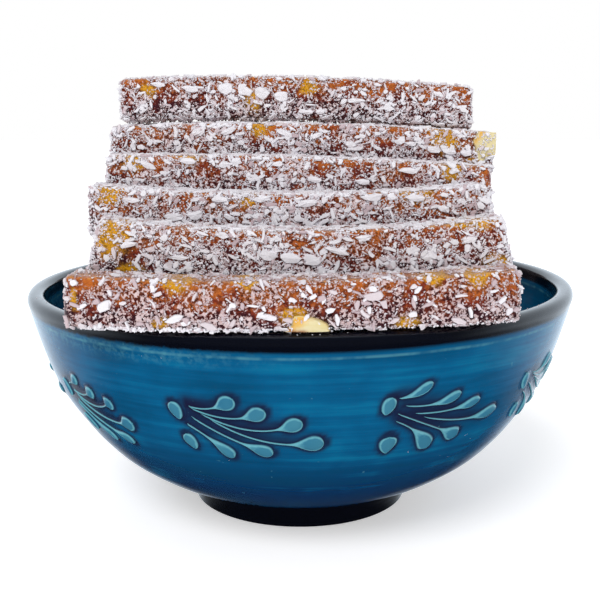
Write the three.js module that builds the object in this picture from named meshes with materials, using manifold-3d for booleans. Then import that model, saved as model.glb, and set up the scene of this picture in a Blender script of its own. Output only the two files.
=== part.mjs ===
// Bars of hazelnut cezerye, rolled in coconut and heaped in a turquoise glazed bowl.
// Millimetres, +Z up. X runs along the bars, +Y from the front of the heap to its back,
// and the origin is on the table, under the middle of the bowl.
import * as THREE from 'three';
import { mergeVertices } from 'three/addons/utils/BufferGeometryUtils.js';
import Module from 'manifold-3d';

const wasm = await Module();
wasm.setup();

// ---- bowl sizes ----
const RIM_RADIUS = 90;
const BOWL_HEIGHT = 75;
const RIM_THICKNESS = 5.4;
const RIM_LIFT = 1.5; // the thrown rim is out of level by this much, up on the side it is lifted to
const RIM_LIFTED_TO = 58; // degrees from +X towards +Y
const LIP_ROUNDING = 0.9;
const FOOT_RADIUS = 36.5;
const FOOT_WALL = 5;
const FOOT_HEIGHT = 8.5;
const FOOT_EDGE = 0.8;
const FOOT_FLARE = 1.4; // how much wider the foot is at its top
const FOOT_RECESS = 5.5; // height of the bowl's underside inside the foot ring
const FLOOR_HEIGHT = 13; // height of the bowl's inside at its middle
const OUTER_WALL = [[48.5, 11.5], [61, 19.4], [69.2, 27.4], [75.2, 35.3], [80.2, 43.3], [83.6, 51.2],
  [86.3, 59.1], [88.6, 67], [RIM_RADIUS, 72.3]];
const INNER_WALL = [[83.8, 66], [80.8, 58], [78, 50], [74, 42], [68.6, 34], [61, 26], [49, 18.5], [32, 14]];
const BOWL_SEGMENTS = 54;
const OUTER_STEPS = 8;
const INNER_STEPS = 6;

// ---- slip-trailed sprays on the outside of the bowl ----
const SPRAY_COUNT = 10;
const SPRAY_TURN = 360 / SPRAY_COUNT;
const FIRST_SPRAY = -56; // degrees from the front (-Y) to the first spray's upper bead, towards +X
const SPRAY_HEIGHT = 52;
const SHIFTED_SPRAY = 1; // this spray was trailed a little to the left of its even place
const SPRAY_SHIFT = -3.5;
const BEAD_RISE = 0.9;
// Each bead of slip: degrees round the bowl and millimetres up from the spray's upper bead,
// the bead's lean from level in degrees, its length and its width.
const SPRAY_BEADS = [
  { turn: 0, up: 0, lean: 70, length: 5.4, width: 3.6 },
  { turn: 1.3, up: -10.8, lean: 55, length: 5, width: 3.4 },
  { turn: 8.9, up: 4.6, lean: 35, length: 5.2, width: 3 },
  { turn: 15, up: 1.1, lean: 28, length: 5.4, width: 3.1 },
  { turn: 20.9, up: -2, lean: 25, length: 5.6, width: 3.2 },
  { turn: 26.4, up: -7, lean: 28, length: 5.6, width: 3.3 },
  { turn: 16.7, up: -11.1, lean: -40, length: 5, width: 3.2 },
  { turn: 10.1, up: -12.4, lean: -55, length: 4.8, width: 3.2 },
];

// ---- bars ----
const BAR_DEPTH = 15;
const BAR_HEIGHT = 15;
const BAR_ROUNDING = 1.8;
const BAR_LENGTH = 116;
const GAP = 0.3;
const FRONT_STEPS = 12; // faces along a bar
const REAR_STEPS = 8;
const HIDDEN_STEPS = 3;
const CUT_WANDER = 0.22; // how far the hand-cut top and front wander
const CUT_WAVES = [0.21, 0.093]; // how fast they wander along a bar, in radians per millimetre
// The bars that show from the front, from the rim upwards. front: y of the front face at the
// ends; bow: how far the middle stands forward of them; top: height of the top at the ends;
// rise: how much higher the +X end is than the -X end; sag: how far the middle hangs below
// the ends; waist: how much thinner the middle is; splay: how far the bottom of each end
// stands out past its top.
const FRONT_BARS = [
  { x: -2, front: -81, bow: 7.6, top: 88.7, rise: 1.4, sag: 0.2, waist: 1,
    length: 119, height: 14.3, splay: [0.5, 0.5] },
  { x: 0, front: -65.5, bow: 3, top: 101.4, rise: 0.4, sag: 3.4, waist: 0,
    length: 117, height: 15, splay: [4.5, 3.6] },
  { x: -1.5, front: -49.5, bow: 0, top: 109.4, rise: 0.5, sag: 2.8, waist: 0,
    length: 119.4, height: 15, splay: [0.6, 5.6] },
  { x: 0.1, front: -33.5, bow: 0, top: 115.8, rise: -3.4, sag: -1, waist: 0,
    length: 117.6, height: 15, splay: [0, 1.2] },
  { x: -0.1, front: -17.5, bow: 0, top: 125, rise: -1.8, sag: -2, waist: 0,
    length: 122.4, height: 15, splay: [1.5, -1.6] },
  { x: -1.2, front: -9, bow: 0, top: 140, rise: -2.6, sag: -2, waist: 0,
    length: 114.6, height: 14, splay: [0, 0] },
];
// The heap under and behind them stands in columns, front to back, from FIRST_COLUMN on.
// Each column is a stack that reaches down until its lowest bar lodges between the bowl's walls.
const COLUMN_PITCH = BAR_DEPTH + GAP;
const FIRST_COLUMN = -62;
const COLUMNS = [
  { carries: 1 },
  { carries: 2 },
  { carries: 3 },
  { carries: 4 },
  { carries: 5 },
  { top: 113, rise: 1.4, sag: -1.2 },
  { top: 102.5, rise: -1, sag: 0.8 },
  { top: 94, rise: 0.8, sag: 1 },
];
const LENGTH_SPREAD = 3;
const END_SPREAD = 2.5;
const SHORTEST_BAR = 96;
const LONGEST_BAR = 124;
const WALL_CLEARANCE = 0.5;
const UNEVEN_SIZE = 0.9; // how much less than full size a bar of a column may be
const HIDDEN_SPLAY = [-0.8, 1];
const SAG_NEAR_WALL = 0.25; // share of a bar's sag that it has where it comes nearest the wall
const REAR_RIM_BAR = { x: 1.5, front: 66.5, bow: -7, top: 91.2, rise: 1.2, sag: 0, waist: 0,
  length: 115, height: 14.5, splay: [0.8, 0.4] };

// ---- toppings ----
const FLAKE_LENGTH = [4.5, 8.5];
const FLAKE_WIDTH = [1.6, 2.5];
const FLAKE_THICKNESS = 0.8;
const FLAKE_SINK = 0.15; // how far a flake's middle lies above the surface that it sticks to
const FLAKE_MARGIN = 1.6;
const EDGE_MARGIN = 3.8; // between a flake's middle and an edge that another bar stands against
const FLAKE_TURN = 0.4; // radians either way from level
const FLAKE_CURL = 0.25;
const FLAKE_TAPER = 0.35; // share of its width that a flake loses towards its ends
const FRONT_FLAKES = 8; // on the front face of each bar at the front
const TOP_FLAKES = 5;
const REAR_FLAKES = 4;
const NUTS = [
  { name: 'hazelnut_front', bar: 0, along: 4.8, up: -6.8, radii: [6.2, 4.6, 4.6] },
  { name: 'hazelnut_end', bar: 4, along: 59.2, up: 3.6, radii: [4.6, 4.6, 5.2] },
];
const NUT_INSET = 2.6; // depth of a nut's middle behind the face that it shows in

const glaze = new THREE.MeshStandardMaterial({ color: 0x0a6a92, roughness: 0.15, metalness: 0 });
const jelly = new THREE.MeshStandardMaterial({ color: 0xb08a86, roughness: 0.55, metalness: 0 });
const kernel = new THREE.MeshStandardMaterial({ color: 0xdcc794, roughness: 0.6, metalness: 0 });

const radians = THREE.MathUtils.degToRad;
const part = new THREE.Group();
const FRONT_SEED = 101;
const COLUMN_SEED = 301;
const REAR_RIM_SEED = 401;

// A seeded draw between two values, the same on every run: a linear congruential generator.
function drawer(seed) {
  const multiplier = 1664525;
  const increment = 1013904223;
  const range = 2 ** 32;
  let state = seed;
  return (low, high) => {
    state = (Math.imul(state, multiplier) + increment) >>> 0;
    return low + (high - low) * (state / range);
  };
}

// ---- solids ----
function toSolid(geometry) {
  const bare = geometry.clone();
  bare.deleteAttribute('normal');
  bare.deleteAttribute('uv');
  const merged = mergeVertices(bare, 1e-4);
  return new wasm.Manifold(new wasm.Mesh({
    numProp: 3,
    vertProperties: new Float32Array(merged.attributes.position.array),
    triVerts: new Uint32Array(merged.index.array),
  }));
}

function toGeometry(solid) {
  const mesh = solid.getMesh();
  const geometry = new THREE.BufferGeometry();
  geometry.setAttribute('position', new THREE.BufferAttribute(mesh.vertProperties, 3));
  geometry.setIndex(new THREE.BufferAttribute(mesh.triVerts, 1));
  return geometry;
}

// The largest of the bodies that a cut or a join leaves, so that no loose scrap stays.
function largestBody(solid) {
  return solid.decompose().reduce((best, body) => (body.volume() > best.volume() ? body : best));
}

function movePoints(geometry, move) {
  const places = geometry.attributes.position;
  const point = new THREE.Vector3();
  for (let i = 0; i < places.count; i += 1) {
    point.fromBufferAttribute(places, i);
    move(point);
    places.setXYZ(i, point.x, point.y, point.z);
  }
  return geometry;
}

// ---- bowl ----
// Radius of a wall at a height, straight between the outline's points.
function radiusAt(wall, height) {
  const rising = wall.slice().sort((a, b) => a[1] - b[1]);
  for (let i = 1; i < rising.length; i += 1) {
    const [lowRadius, low] = rising[i - 1];
    const [highRadius, high] = rising[i];
    if (height <= high) {
      return THREE.MathUtils.mapLinear(Math.max(height, low), low, high, lowRadius, highRadius);
    }
  }
  return rising[rising.length - 1][0];
}

function smoothWall(wall, steps) {
  return new THREE.SplineCurve(wall.map(([r, z]) => new THREE.Vector2(r, z))).getPoints(steps);
}

function bowlProfile() {
  const lip = RIM_THICKNESS / 2;
  const foot = [
    [0, FOOT_RECESS],
    [FOOT_RADIUS - FOOT_WALL - FOOT_FLARE, FOOT_RECESS],
    [FOOT_RADIUS - FOOT_WALL, FOOT_EDGE],
    [FOOT_RADIUS - FOOT_WALL + FOOT_EDGE, 0],
    [FOOT_RADIUS - FOOT_EDGE, 0],
    [FOOT_RADIUS, FOOT_EDGE],
    [FOOT_RADIUS + FOOT_FLARE, FOOT_HEIGHT],
  ];
  const rim = [
    [RIM_RADIUS - LIP_ROUNDING, BOWL_HEIGHT - LIP_ROUNDING],
    [RIM_RADIUS - lip, BOWL_HEIGHT],
    [RIM_RADIUS - RIM_THICKNESS + LIP_ROUNDING, BOWL_HEIGHT - LIP_ROUNDING],
    [RIM_RADIUS - RIM_THICKNESS, BOWL_HEIGHT - lip],
  ];
  const corners = (list) => list.map(([r, z]) => new THREE.Vector2(r, z));
  return [
    ...corners(foot),
    ...smoothWall(OUTER_WALL, OUTER_STEPS),
    ...corners(rim),
    ...smoothWall(INNER_WALL, INNER_STEPS),
    new THREE.Vector2(0, FLOOR_HEIGHT),
  ];
}

// The lift of the rim fades from the rim down to nothing at the foot.
function liftRim(point) {
  const share = THREE.MathUtils.smoothstep(point.z, FOOT_HEIGHT, BOWL_HEIGHT);
  const towards = point.x * Math.cos(radians(RIM_LIFTED_TO)) + point.y * Math.sin(radians(RIM_LIFTED_TO));
  point.z += (RIM_LIFT * share * towards) / RIM_RADIUS;
}

// Where a bead sits: the point on the outer wall, with axes along its lean and out of the wall.
function beadPlace(turn, height, lean) {
  const step = 0.5; // millimetres up and down that the wall's slope is taken over
  const radius = radiusAt(OUTER_WALL, height);
  const slope = (radiusAt(OUTER_WALL, height + step) - radiusAt(OUTER_WALL, height - step)) / (2 * step);
  const angle = radians(turn - 90);
  const outward = new THREE.Vector3(Math.cos(angle), Math.sin(angle), -slope).normalize();
  const round = new THREE.Vector3(-Math.sin(angle), Math.cos(angle), 0);
  const upward = new THREE.Vector3().crossVectors(outward, round);
  const along = round.clone().multiplyScalar(Math.cos(radians(lean)));
  along.addScaledVector(upward, Math.sin(radians(lean)));
  const across = new THREE.Vector3().crossVectors(outward, along);
  const place = new THREE.Matrix4().makeBasis(along, across, outward);
  return place.setPosition(radius * Math.cos(angle), radius * Math.sin(angle), height);
}

function beadSolid(turn, height, bead) {
  const dome = new THREE.SphereGeometry(1, 6, 3);
  dome.scale(bead.length / 2, bead.width / 2, BEAD_RISE);
  dome.applyMatrix4(beadPlace(turn, height, bead.lean));
  return toSolid(dome);
}

function bowlMesh() {
  const turned = new THREE.LatheGeometry(bowlProfile(), BOWL_SEGMENTS);
  turned.rotateX(Math.PI / 2);
  let bowl = toSolid(turned);
  for (let spray = 0; spray < SPRAY_COUNT; spray += 1) {
    const shift = spray === SHIFTED_SPRAY ? SPRAY_SHIFT : 0;
    for (const bead of SPRAY_BEADS) {
      const turn = FIRST_SPRAY + spray * SPRAY_TURN + shift + bead.turn;
      bowl = bowl.add(beadSolid(turn, SPRAY_HEIGHT + bead.up, bead));
    }
  }
  const mesh = new THREE.Mesh(movePoints(toGeometry(largestBody(bowl)), liftRim), glaze);
  mesh.name = 'bowl';
  return mesh;
}

// ---- bars ----
// How far the middle line of a bar is moved at a place along it: forward by its bow, down by
// its sag, and up towards its higher end; and how much lower its top is there by its waist.
function bendAt(bar, along) {
  const share = (2 * along) / bar.length;
  const middle = 1 - share * share;
  return {
    y: -bar.bow * middle,
    z: -bar.sag * middle + (bar.rise * share) / 2,
    thin: bar.waist * middle,
  };
}

// A bar round its own middle: long edges rounded, ends splayed, and bent as bendAt says.
function barGeometry(bar, steps, wander) {
  const depth = bar.depth ?? BAR_DEPTH;
  const box = new THREE.BoxGeometry(bar.length, depth, bar.height, steps, 2, 2);
  const halfDepth = depth / 2;
  const halfHeight = bar.height / 2;
  const pull = BAR_ROUNDING * (1 - Math.SQRT1_2);
  const near = 0.01;
  return movePoints(box, (point) => {
    const side = Math.abs(point.y) > halfDepth - near;
    const level = Math.abs(point.z) > halfHeight - near;
    const end = Math.abs(point.x) > bar.length / 2 - near;
    const along = point.x;
    const waves = Math.sin(along * CUT_WAVES[0] + bar.top) + Math.sin(along * CUT_WAVES[1] + bar.front);
    const cut = wander * waves;
    if (point.z > 0 && level) point.z -= Math.abs(cut) + bendAt(bar, along).thin;
    if (point.y * (bar.faces ?? -1) > 0 && side) point.y -= Math.sign(point.y) * Math.abs(cut);
    if (side && level) {
      point.y -= Math.sign(point.y) * pull;
      point.z -= Math.sign(point.z) * pull;
    }
    if (end) {
      const splay = bar.splay[point.x < 0 ? 0 : 1];
      point.x -= Math.sign(along) * splay * (0.5 + point.z / bar.height);
      if (side || level) point.x -= Math.sign(along) * pull;
    }
    const bend = bendAt(bar, along);
    point.y += bend.y;
    point.z += bend.z;
  });
}

// A flake is a chip with its middle raised, so that it curls off what it lies on.
function flakeGeometry(draw) {
  const length = draw(...FLAKE_LENGTH);
  const width = draw(...FLAKE_WIDTH);
  const chip = new THREE.BoxGeometry(length, width, FLAKE_THICKNESS, 2, 1, 1);
  const curl = draw(0, FLAKE_CURL);
  return movePoints(chip, (point) => {
    const share = (2 * point.x) / length;
    point.z -= curl * share * share;
    point.y *= 1 - FLAKE_TAPER * share * share;
  });
}

// A flake laid flat on a face of a bar. face is the face's outward normal, spot is on the face.
function flakeSolid(draw, spot, face, turn) {
  const flake = flakeGeometry(draw);
  const along = new THREE.Vector3(1, 0, 0);
  const across = new THREE.Vector3().crossVectors(face, along);
  flake.rotateZ(turn);
  flake.applyMatrix4(new THREE.Matrix4().makeBasis(along, across, face));
  const lifted = spot.clone().addScaledVector(face, FLAKE_SINK);
  flake.translate(lifted.x, lifted.y, lifted.z);
  return toSolid(flake);
}

// Flakes in even places along a bar, each moved a little at random, on the face that shows.
// low and high are the lowest and highest place for a flake's middle across the face.
function addFlakes(solid, bar, face, count, low, high, draw) {
  const reach = bar.length - 2 * FLAKE_LENGTH[1];
  const stands = new THREE.Vector3(...face);
  let joined = solid;
  for (let i = 0; i < count; i += 1) {
    const along = reach * ((i + draw(0.2, 0.8)) / count - 0.5);
    const bend = bendAt(bar, along);
    const across = draw(low(along), Math.max(low(along), high));
    const turn = draw(-FLAKE_TURN, FLAKE_TURN);
    const spot = stands.z
      ? new THREE.Vector3(along, across + bend.y, bar.height / 2 + bend.z - CUT_WANDER)
      : new THREE.Vector3(along, stands.y * (BAR_DEPTH / 2 - CUT_WANDER) + bend.y, across + bend.z);
    joined = joined.add(flakeSolid(draw, spot, stands, turn));
  }
  return joined;
}

// The height of a bar's top at a place x of the heap.
function topAt(bar, x) {
  return bar.top + bendAt(bar, x - bar.x).z;
}

function placeBar(mesh, bar, name) {
  mesh.position.set(bar.x, bar.front + BAR_DEPTH / 2, bar.top - bar.height / 2);
  mesh.name = name;
  return mesh;
}

function nutGeometry(nut, bar, grow) {
  const shell = new THREE.SphereGeometry(1, 10, 6);
  shell.scale(...nut.radii.map((radius) => radius + grow));
  const bend = bendAt(bar, nut.along);
  shell.translate(nut.along, -BAR_DEPTH / 2 + NUT_INSET + bend.y, nut.up + bend.z);
  return shell;
}

// A front bar with its flakes, hollowed where a nut shows, and the nuts cut to its outline.
function frontBar(bar, index) {
  const draw = drawer(FRONT_SEED + index);
  const below = FRONT_BARS[index - 1];
  const above = FRONT_BARS[index + 1];
  const plain = toSolid(barGeometry(bar, FRONT_STEPS, CUT_WANDER));
  const lowestOnFace = (along) => {
    if (!below || index === FRONT_BARS.length - 1) return -bar.height / 2 + FLAKE_MARGIN;
    const middle = bar.top - bar.height / 2 + bendAt(bar, along).z;
    return topAt(below, along + bar.x) - middle + FLAKE_MARGIN;
  };
  const stops = above && above.front < bar.front + BAR_DEPTH ? above.front - bar.front : BAR_DEPTH;
  const highest = bar.height / 2 - FLAKE_MARGIN;
  let solid = addFlakes(plain, bar, [0, -1, 0], FRONT_FLAKES, lowestOnFace, highest, draw);
  const frontEdge = () => -BAR_DEPTH / 2 + 2 * FLAKE_MARGIN;
  const rearEdge = stops - BAR_DEPTH / 2 - EDGE_MARGIN;
  solid = addFlakes(solid, bar, [0, 0, 1], TOP_FLAKES, frontEdge, rearEdge, draw);
  for (const nut of NUTS.filter((one) => one.bar === index)) {
    const kernelSolid = toSolid(nutGeometry(nut, bar, 0)).intersect(plain);
    solid = solid.subtract(toSolid(nutGeometry(nut, bar, GAP)));
    part.add(placeBar(new THREE.Mesh(toGeometry(largestBody(kernelSolid)), kernel), bar, nut.name));
  }
  part.add(placeBar(new THREE.Mesh(toGeometry(largestBody(solid)), jelly), bar, `bar_${index + 1}`));
}

// The longest bar that fits between the bowl's walls, with its bottom at this height.
function chordAt(front, bottom) {
  const farthest = Math.max(Math.abs(front), Math.abs(front + BAR_DEPTH));
  if (bottom >= BOWL_HEIGHT) return Infinity;
  const inside = [[RIM_RADIUS - RIM_THICKNESS, BOWL_HEIGHT - RIM_THICKNESS / 2], ...INNER_WALL];
  const radius = radiusAt(inside, bottom) - WALL_CLEARANCE;
  return radius > farthest ? 2 * Math.sqrt(radius * radius - farthest * farthest) : 0;
}

// A stack of bars from a top height down to the bowl's wall.
function stackColumn(column, index) {
  const carried = FRONT_BARS[column.carries];
  const shape = carried ?? { ...column, x: 0 };
  const front = FIRST_COLUMN + index * COLUMN_PITCH;
  const faces = carried ? -1 : 1;
  let top = carried ? carried.top - carried.height - GAP : column.top;
  const draw = drawer(COLUMN_SEED + index);
  for (let level = 1; ; level += 1) {
    const height = BAR_HEIGHT - GAP - draw(0, UNEVEN_SIZE);
    const bottom = top - height;
    const hangs = Math.abs(shape.rise) / 2 + Math.max(shape.sag, 0) * SAG_NEAR_WALL;
    const chord = chordAt(front, bottom - hangs - RIM_LIFT);
    if (chord < SHORTEST_BAR) break;
    const shows = !carried && level === 1;
    const lodged = chord < LONGEST_BAR;
    const usual = BAR_LENGTH + draw(-LENGTH_SPREAD, LENGTH_SPREAD);
    const bar = {
      x: lodged ? 0 : draw(-END_SPREAD, END_SPREAD),
      front,
      bow: 0,
      top,
      rise: shape.rise,
      sag: shape.sag,
      waist: 0,
      length: lodged ? chord : usual,
      height,
      depth: BAR_DEPTH - (shows ? 0 : draw(0, UNEVEN_SIZE)),
      splay: [draw(...HIDDEN_SPLAY), draw(...HIDDEN_SPLAY)].map((splay) => (lodged ? 0 : splay)),
      faces,
    };
    let solid = toSolid(barGeometry(bar, shows ? REAR_STEPS : HIDDEN_STEPS, 0));
    if (shows) {
      const low = () => -BAR_DEPTH / 2 + EDGE_MARGIN;
      solid = addFlakes(solid, bar, [0, 0, 1], REAR_FLAKES, low, BAR_DEPTH / 2 - 2 * FLAKE_MARGIN, draw);
    }
    const mesh = new THREE.Mesh(toGeometry(largestBody(solid)), jelly);
    part.add(placeBar(mesh, bar, `bar_column_${index + 1}_${level}`));
    if (lodged) break;
    top = bottom - GAP;
  }
}

function rearRimBar() {
  const draw = drawer(REAR_RIM_SEED);
  const bar = { ...REAR_RIM_BAR, faces: 1 };
  const low = () => -bar.height / 2 + FLAKE_MARGIN;
  const edge = () => -BAR_DEPTH / 2 + EDGE_MARGIN;
  let solid = toSolid(barGeometry(bar, REAR_STEPS, CUT_WANDER));
  solid = addFlakes(solid, bar, [0, 1, 0], REAR_FLAKES, low, bar.height / 2 - FLAKE_MARGIN, draw);
  solid = addFlakes(solid, bar, [0, 0, 1], REAR_FLAKES, edge, BAR_DEPTH / 2 - 2 * FLAKE_MARGIN, draw);
  part.add(placeBar(new THREE.Mesh(toGeometry(largestBody(solid)), jelly), bar, 'bar_rear_rim'));
}

part.add(bowlMesh());
FRONT_BARS.forEach(frontBar);
COLUMNS.forEach(stackColumn);
rearRimBar();

export default part;
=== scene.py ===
"""The looks of a bowl of hazelnut cezerye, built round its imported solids.

Metres, +Z up. X runs along the bars, +Y from the front of the heap to its back, and the
origin is on the table, under the middle of the bowl.
"""

import math

import bpy
import numpy as np
from bpy.props import FloatProperty, FloatVectorProperty, IntProperty, PointerProperty
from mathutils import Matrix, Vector, noise
from mathutils.bvhtree import BVHTree


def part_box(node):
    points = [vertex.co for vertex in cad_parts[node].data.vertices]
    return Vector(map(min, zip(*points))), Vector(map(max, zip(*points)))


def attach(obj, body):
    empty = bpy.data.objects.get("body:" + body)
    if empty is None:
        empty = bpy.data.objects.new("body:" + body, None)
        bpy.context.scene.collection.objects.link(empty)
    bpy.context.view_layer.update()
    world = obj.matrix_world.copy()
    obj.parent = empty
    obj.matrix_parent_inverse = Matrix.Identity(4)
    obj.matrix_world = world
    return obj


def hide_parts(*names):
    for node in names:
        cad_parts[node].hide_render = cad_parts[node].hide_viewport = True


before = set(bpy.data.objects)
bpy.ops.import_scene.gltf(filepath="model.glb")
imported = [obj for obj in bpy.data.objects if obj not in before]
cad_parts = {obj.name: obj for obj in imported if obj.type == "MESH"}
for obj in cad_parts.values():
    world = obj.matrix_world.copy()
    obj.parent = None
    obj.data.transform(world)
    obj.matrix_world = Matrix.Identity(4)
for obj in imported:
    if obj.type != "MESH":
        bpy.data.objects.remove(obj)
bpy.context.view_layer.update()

bl_info = {
    "name": "Bowl of hazelnut cezerye",
    "version": (1, 0, 0),
    "blender": (4, 5, 0),
    "location": "3D View > Sidebar > Cezerye",
    "description": "Dresses the packed bowl and bars with glaze, slip, jelly, kernels and coconut",
    "category": "Object",
}

MM = 0.001
BODY = "root"

# ---- bowl, in millimetres; the outlines run up the outside and down the inside ----
RIM_RADIUS = 90
BOWL_HEIGHT = 75
RIM_THICKNESS = 5.4
RIM_LIFT = 1.5
RIM_LIFTED_TO = math.radians(58)
FOOT_RADIUS = 36.5
FOOT_WALL = 5
FOOT_HEIGHT = 8.5
FOOT_FLARE = 1.4
FOOT_RECESS = 5.5
FOOT_FILLET = 0.8
FLOOR_HEIGHT = 13
OUTER_WALL = [
    (FOOT_RADIUS + FOOT_FLARE, FOOT_HEIGHT), (48.5, 11.5), (61, 19.4), (69.2, 27.4), (75.2, 35.3),
    (80.2, 43.3), (83.6, 51.2), (86.3, 59.1), (88.6, 67), (RIM_RADIUS, 72.3),
]
INNER_WALL = [
    (84.6, 72.3), (83.8, 66), (80.8, 58), (78, 50), (74, 42), (68.6, 34), (61, 26), (49, 18.5),
    (32, 14), (0, FLOOR_HEIGHT),
]
BOWL_TURNS = 400
WALL_STEP = 0.85
INSIDE_STEP = 2.6
LIP_POINTS = 14
LIP_SQUARENESS = 0.8
HAND_UNEVENNESS = 0.0022  # of the radius

# ---- slip-trailed sprays: degrees round the bowl and millimetres up from the upper bead ----
SPRAY_COUNT = 10
SPRAY_TURN = 360 / SPRAY_COUNT
FIRST_SPRAY = -56  # round from the front, towards +X
SPRAY_HEIGHT = 52
SPRAY_HAND = {0: (0, -1.8), 1: (-3.5, -0.45), 2: (0, 1.2), 3: (-1.6, 0.4)}  # off the even places
SPRAY_POOL = {3: 0.4}  # how much glaze pooled, against the other sprays
SLIP_RISE = 0.85
TAIL_RISE = 0.4
SLIP_SINK = 0.35
TAIL_WIDTH = 0.34
THINNEST = 0.03  # half the width of slip that runs out
SKIRT = 1.15  # the glaze that a strip of slip has beside it
SLIP_COLUMNS = 11
SLIP_EDGE = 0.2  # the share of half a ridge over which its own colour begins
RING_DEPTH = 0.45  # the pale ring on a head: how far in from its edge
RING_WIDTH = 0.36
MIDDLE_DIP = 0.2  # how far the middle of a head sank, as a share of its height
DIP_WIDTH = 0.42
TRAIL_POINTS = 36
TRAIL_BUNCHING = 1.9  # how much closer a trail's points lie towards its tip
BEND_DRAWN = 0.3  # how far the bend follows the tip out past the middle of the head
NECK_STRETCH = 1.15
NECK_POWER = 1.25  # how slowly a head begins to swell
BEAD_POINTS = 20
BEAD_BLUNTNESS = 0.86
# Where glaze pooled: millimetres round and up to the slip beside it, how wide, how dark, and 1
# where it gathered beside tails alone.
POOLS = [((0.2, -1.3), 1.9, 0.76, 1), ((0, 0), 0.75, 0.85, 0)]
POOL_REACH = 6
POOL_HEIGHTS = (25, 66)
# Each trail: where it starts, the point it bends towards, the middle of its head, and the
# head's width, the length of its neck and how far its widest place lies from its end.
WIDE_SPRAY = [
    ((3.1, 2.3), (7.4, 0.1), (10.6, 4.0), 4.9, 4.4, 2.3),
    ((3.3, 1.9), (11.4, -3.7), (15.9, 0.9), 4.9, 4.8, 2.4),
    ((5.0, 0.5), (15.6, -8.4), (22.4, -2.2), 4.9, 5.0, 2.4),
    ((6.4, -0.6), (16.0, -11.2), (26.2, -8.3), 5.6, 6.8, 2.6),
    ((3.2, -0.9), (10.4, -8.4), (16.7, -11.2), 4.6, 7.0, 2.3),
    ((2.0, -3.5), (5.6, -6.2), (9.2, -12.2), 4.4, 7.4, 2.2),
]
CLOSE_SPRAY = [
    ((1.6, 2.9), (5.0, 2.6), (6.4, 5.0), 3.4, 6.6, 2.6),
    ((3.1, 0.4), (10.6, -2.1), (13.0, 0.9), 3.5, 7.0, 2.6),
    ((5.4, -2.4), (15.0, -4.4), (18.3, -2.0), 3.5, 6.6, 2.6),
    ((7.4, -3.9), (18.8, -9.6), (24.5, -6.8), 4.2, 8.0, 2.9),
    ((1.8, -1.8), (8.9, -6.9), (16.4, -11.7), 4.9, 6.8, 1.7),
    ((1.8, -4.2), (6.8, -7.2), (10.0, -13.1), 5.2, 9.2, 2.2),
]
NARROW_SPRAY = [
    ((1.8, 2.0), (4.2, 1.6), (5.6, 3.9), 3.7, 3.2, 2.1),
    ((2.8, 0.2), (7.6, -2.4), (10.4, 1.2), 4.3, 2.4, 2.2),
    ((3.5, -0.6), (11.8, -6.2), (15.8, -0.6), 4.7, 1.8, 1.9),
    ((3.9, -1.5), (13.4, -9.6), (19.2, -6.4), 5.3, 3.4, 2.6),
    ((2.6, -3.0), (9.6, -9.2), (16.4, -12.4), 4.0, 6.0, 2.3),
    ((2.0, -4.0), (6.2, -8.6), (9.8, -13.2), 3.8, 6.4, 2.2),
]
# Each bead: its middle, its lean in degrees, length, width and how much wider it begins.
WIDE_BEADS = [((0.4, 0.5), 108, 5.4, 4.0, -0.2), ((1.8, -9.5), 112, 5.2, 4.1, -0.22)]
CLOSE_BEADS = [((-0.2, 0.9), -104, 5.2, 4.1, 0.14), ((1.3, -12.1), -88, 5.5, 5.4, 0.34)]
NARROW_BEADS = [((0, 0), 104, 5.8, 4.0, 0.1), ((2.6, -11.0), 112, 6.0, 4.0, 0.1)]
WIDE = (WIDE_SPRAY, WIDE_BEADS)
CLOSE = (CLOSE_SPRAY, CLOSE_BEADS)
NARROW = (NARROW_SPRAY, NARROW_BEADS)
SPRAYS = [NARROW, WIDE, CLOSE, WIDE, CLOSE, NARROW, WIDE, CLOSE, WIDE, CLOSE]

# ---- bars ----
BAR_ROUNDING = 1.9
FRONT_BARS = [f"bar_{number}" for number in range(1, 7)]
FRONT_CELL = 1.2
HIDDEN_CELLS = (14, 6, 6)
CUT_ROUGHNESS = 0.22
FACE_SINK = 0.1  # how far the jelly lies under the measured faces
NEIGHBOUR_REACH = 1.6
STATION_INSET = 6.5  # where a bar's solid is measured: in from its ends
STATIONS = 21
STATION_RAYS = 15
END_REACH = 8
SOCKET = 1.14  # how far jelly sinks round a kernel, against the kernel's radii
SOCKET_DEPTH = 1.1

# Kernels that lie just under the jelly and glow through it: the bar, millimetres along it from
# its middle and up from its middle, and half their length and height.
GLOWS = [
    ("bar_1", -29, 6, 3.2, 2.6), ("bar_1", -11, 6.5, 2.2, 2.2), ("bar_1", 36, 6.5, 2.4, 2.4),
    ("bar_1", 47, 5.8, 2.6, 2.4), ("bar_1", 0.6, -2.6, 3.6, 2.6), ("bar_1", -33, -4.5, 2.8, 1.8),
    ("bar_1", 29, -5, 3.4, 2), ("bar_1", -56, 1, 1.2, 3), ("bar_2", -51, 3, 5, 5.5),
    ("bar_2", 47, 6.5, 4.6, 1.8), ("bar_2", 53, -4.5, 4, 2.4), ("bar_2", -46, -5.5, 4, 2),
    ("bar_3", -52, 5, 4, 2.6), ("bar_3", -12, 5.5, 3, 1.6), ("bar_3", 36, 5.5, 4, 1.8),
    ("bar_4", 46, 4.6, 3.4, 3.2), ("bar_4", -50, 5, 3.6, 2.4), ("bar_4", -33, 5.5, 3, 1.6),
    ("bar_5", 45, 3.6, 4.6, 4), ("bar_5", -14, 5, 3, 2), ("bar_5", 55, -3.5, 3.4, 3),
    ("bar_6", -14, -1, 3.2, 4), ("bar_6", 4, 3.5, 3, 2.4), ("bar_6", -48, 2.5, 2.6, 2.4),
]

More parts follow.
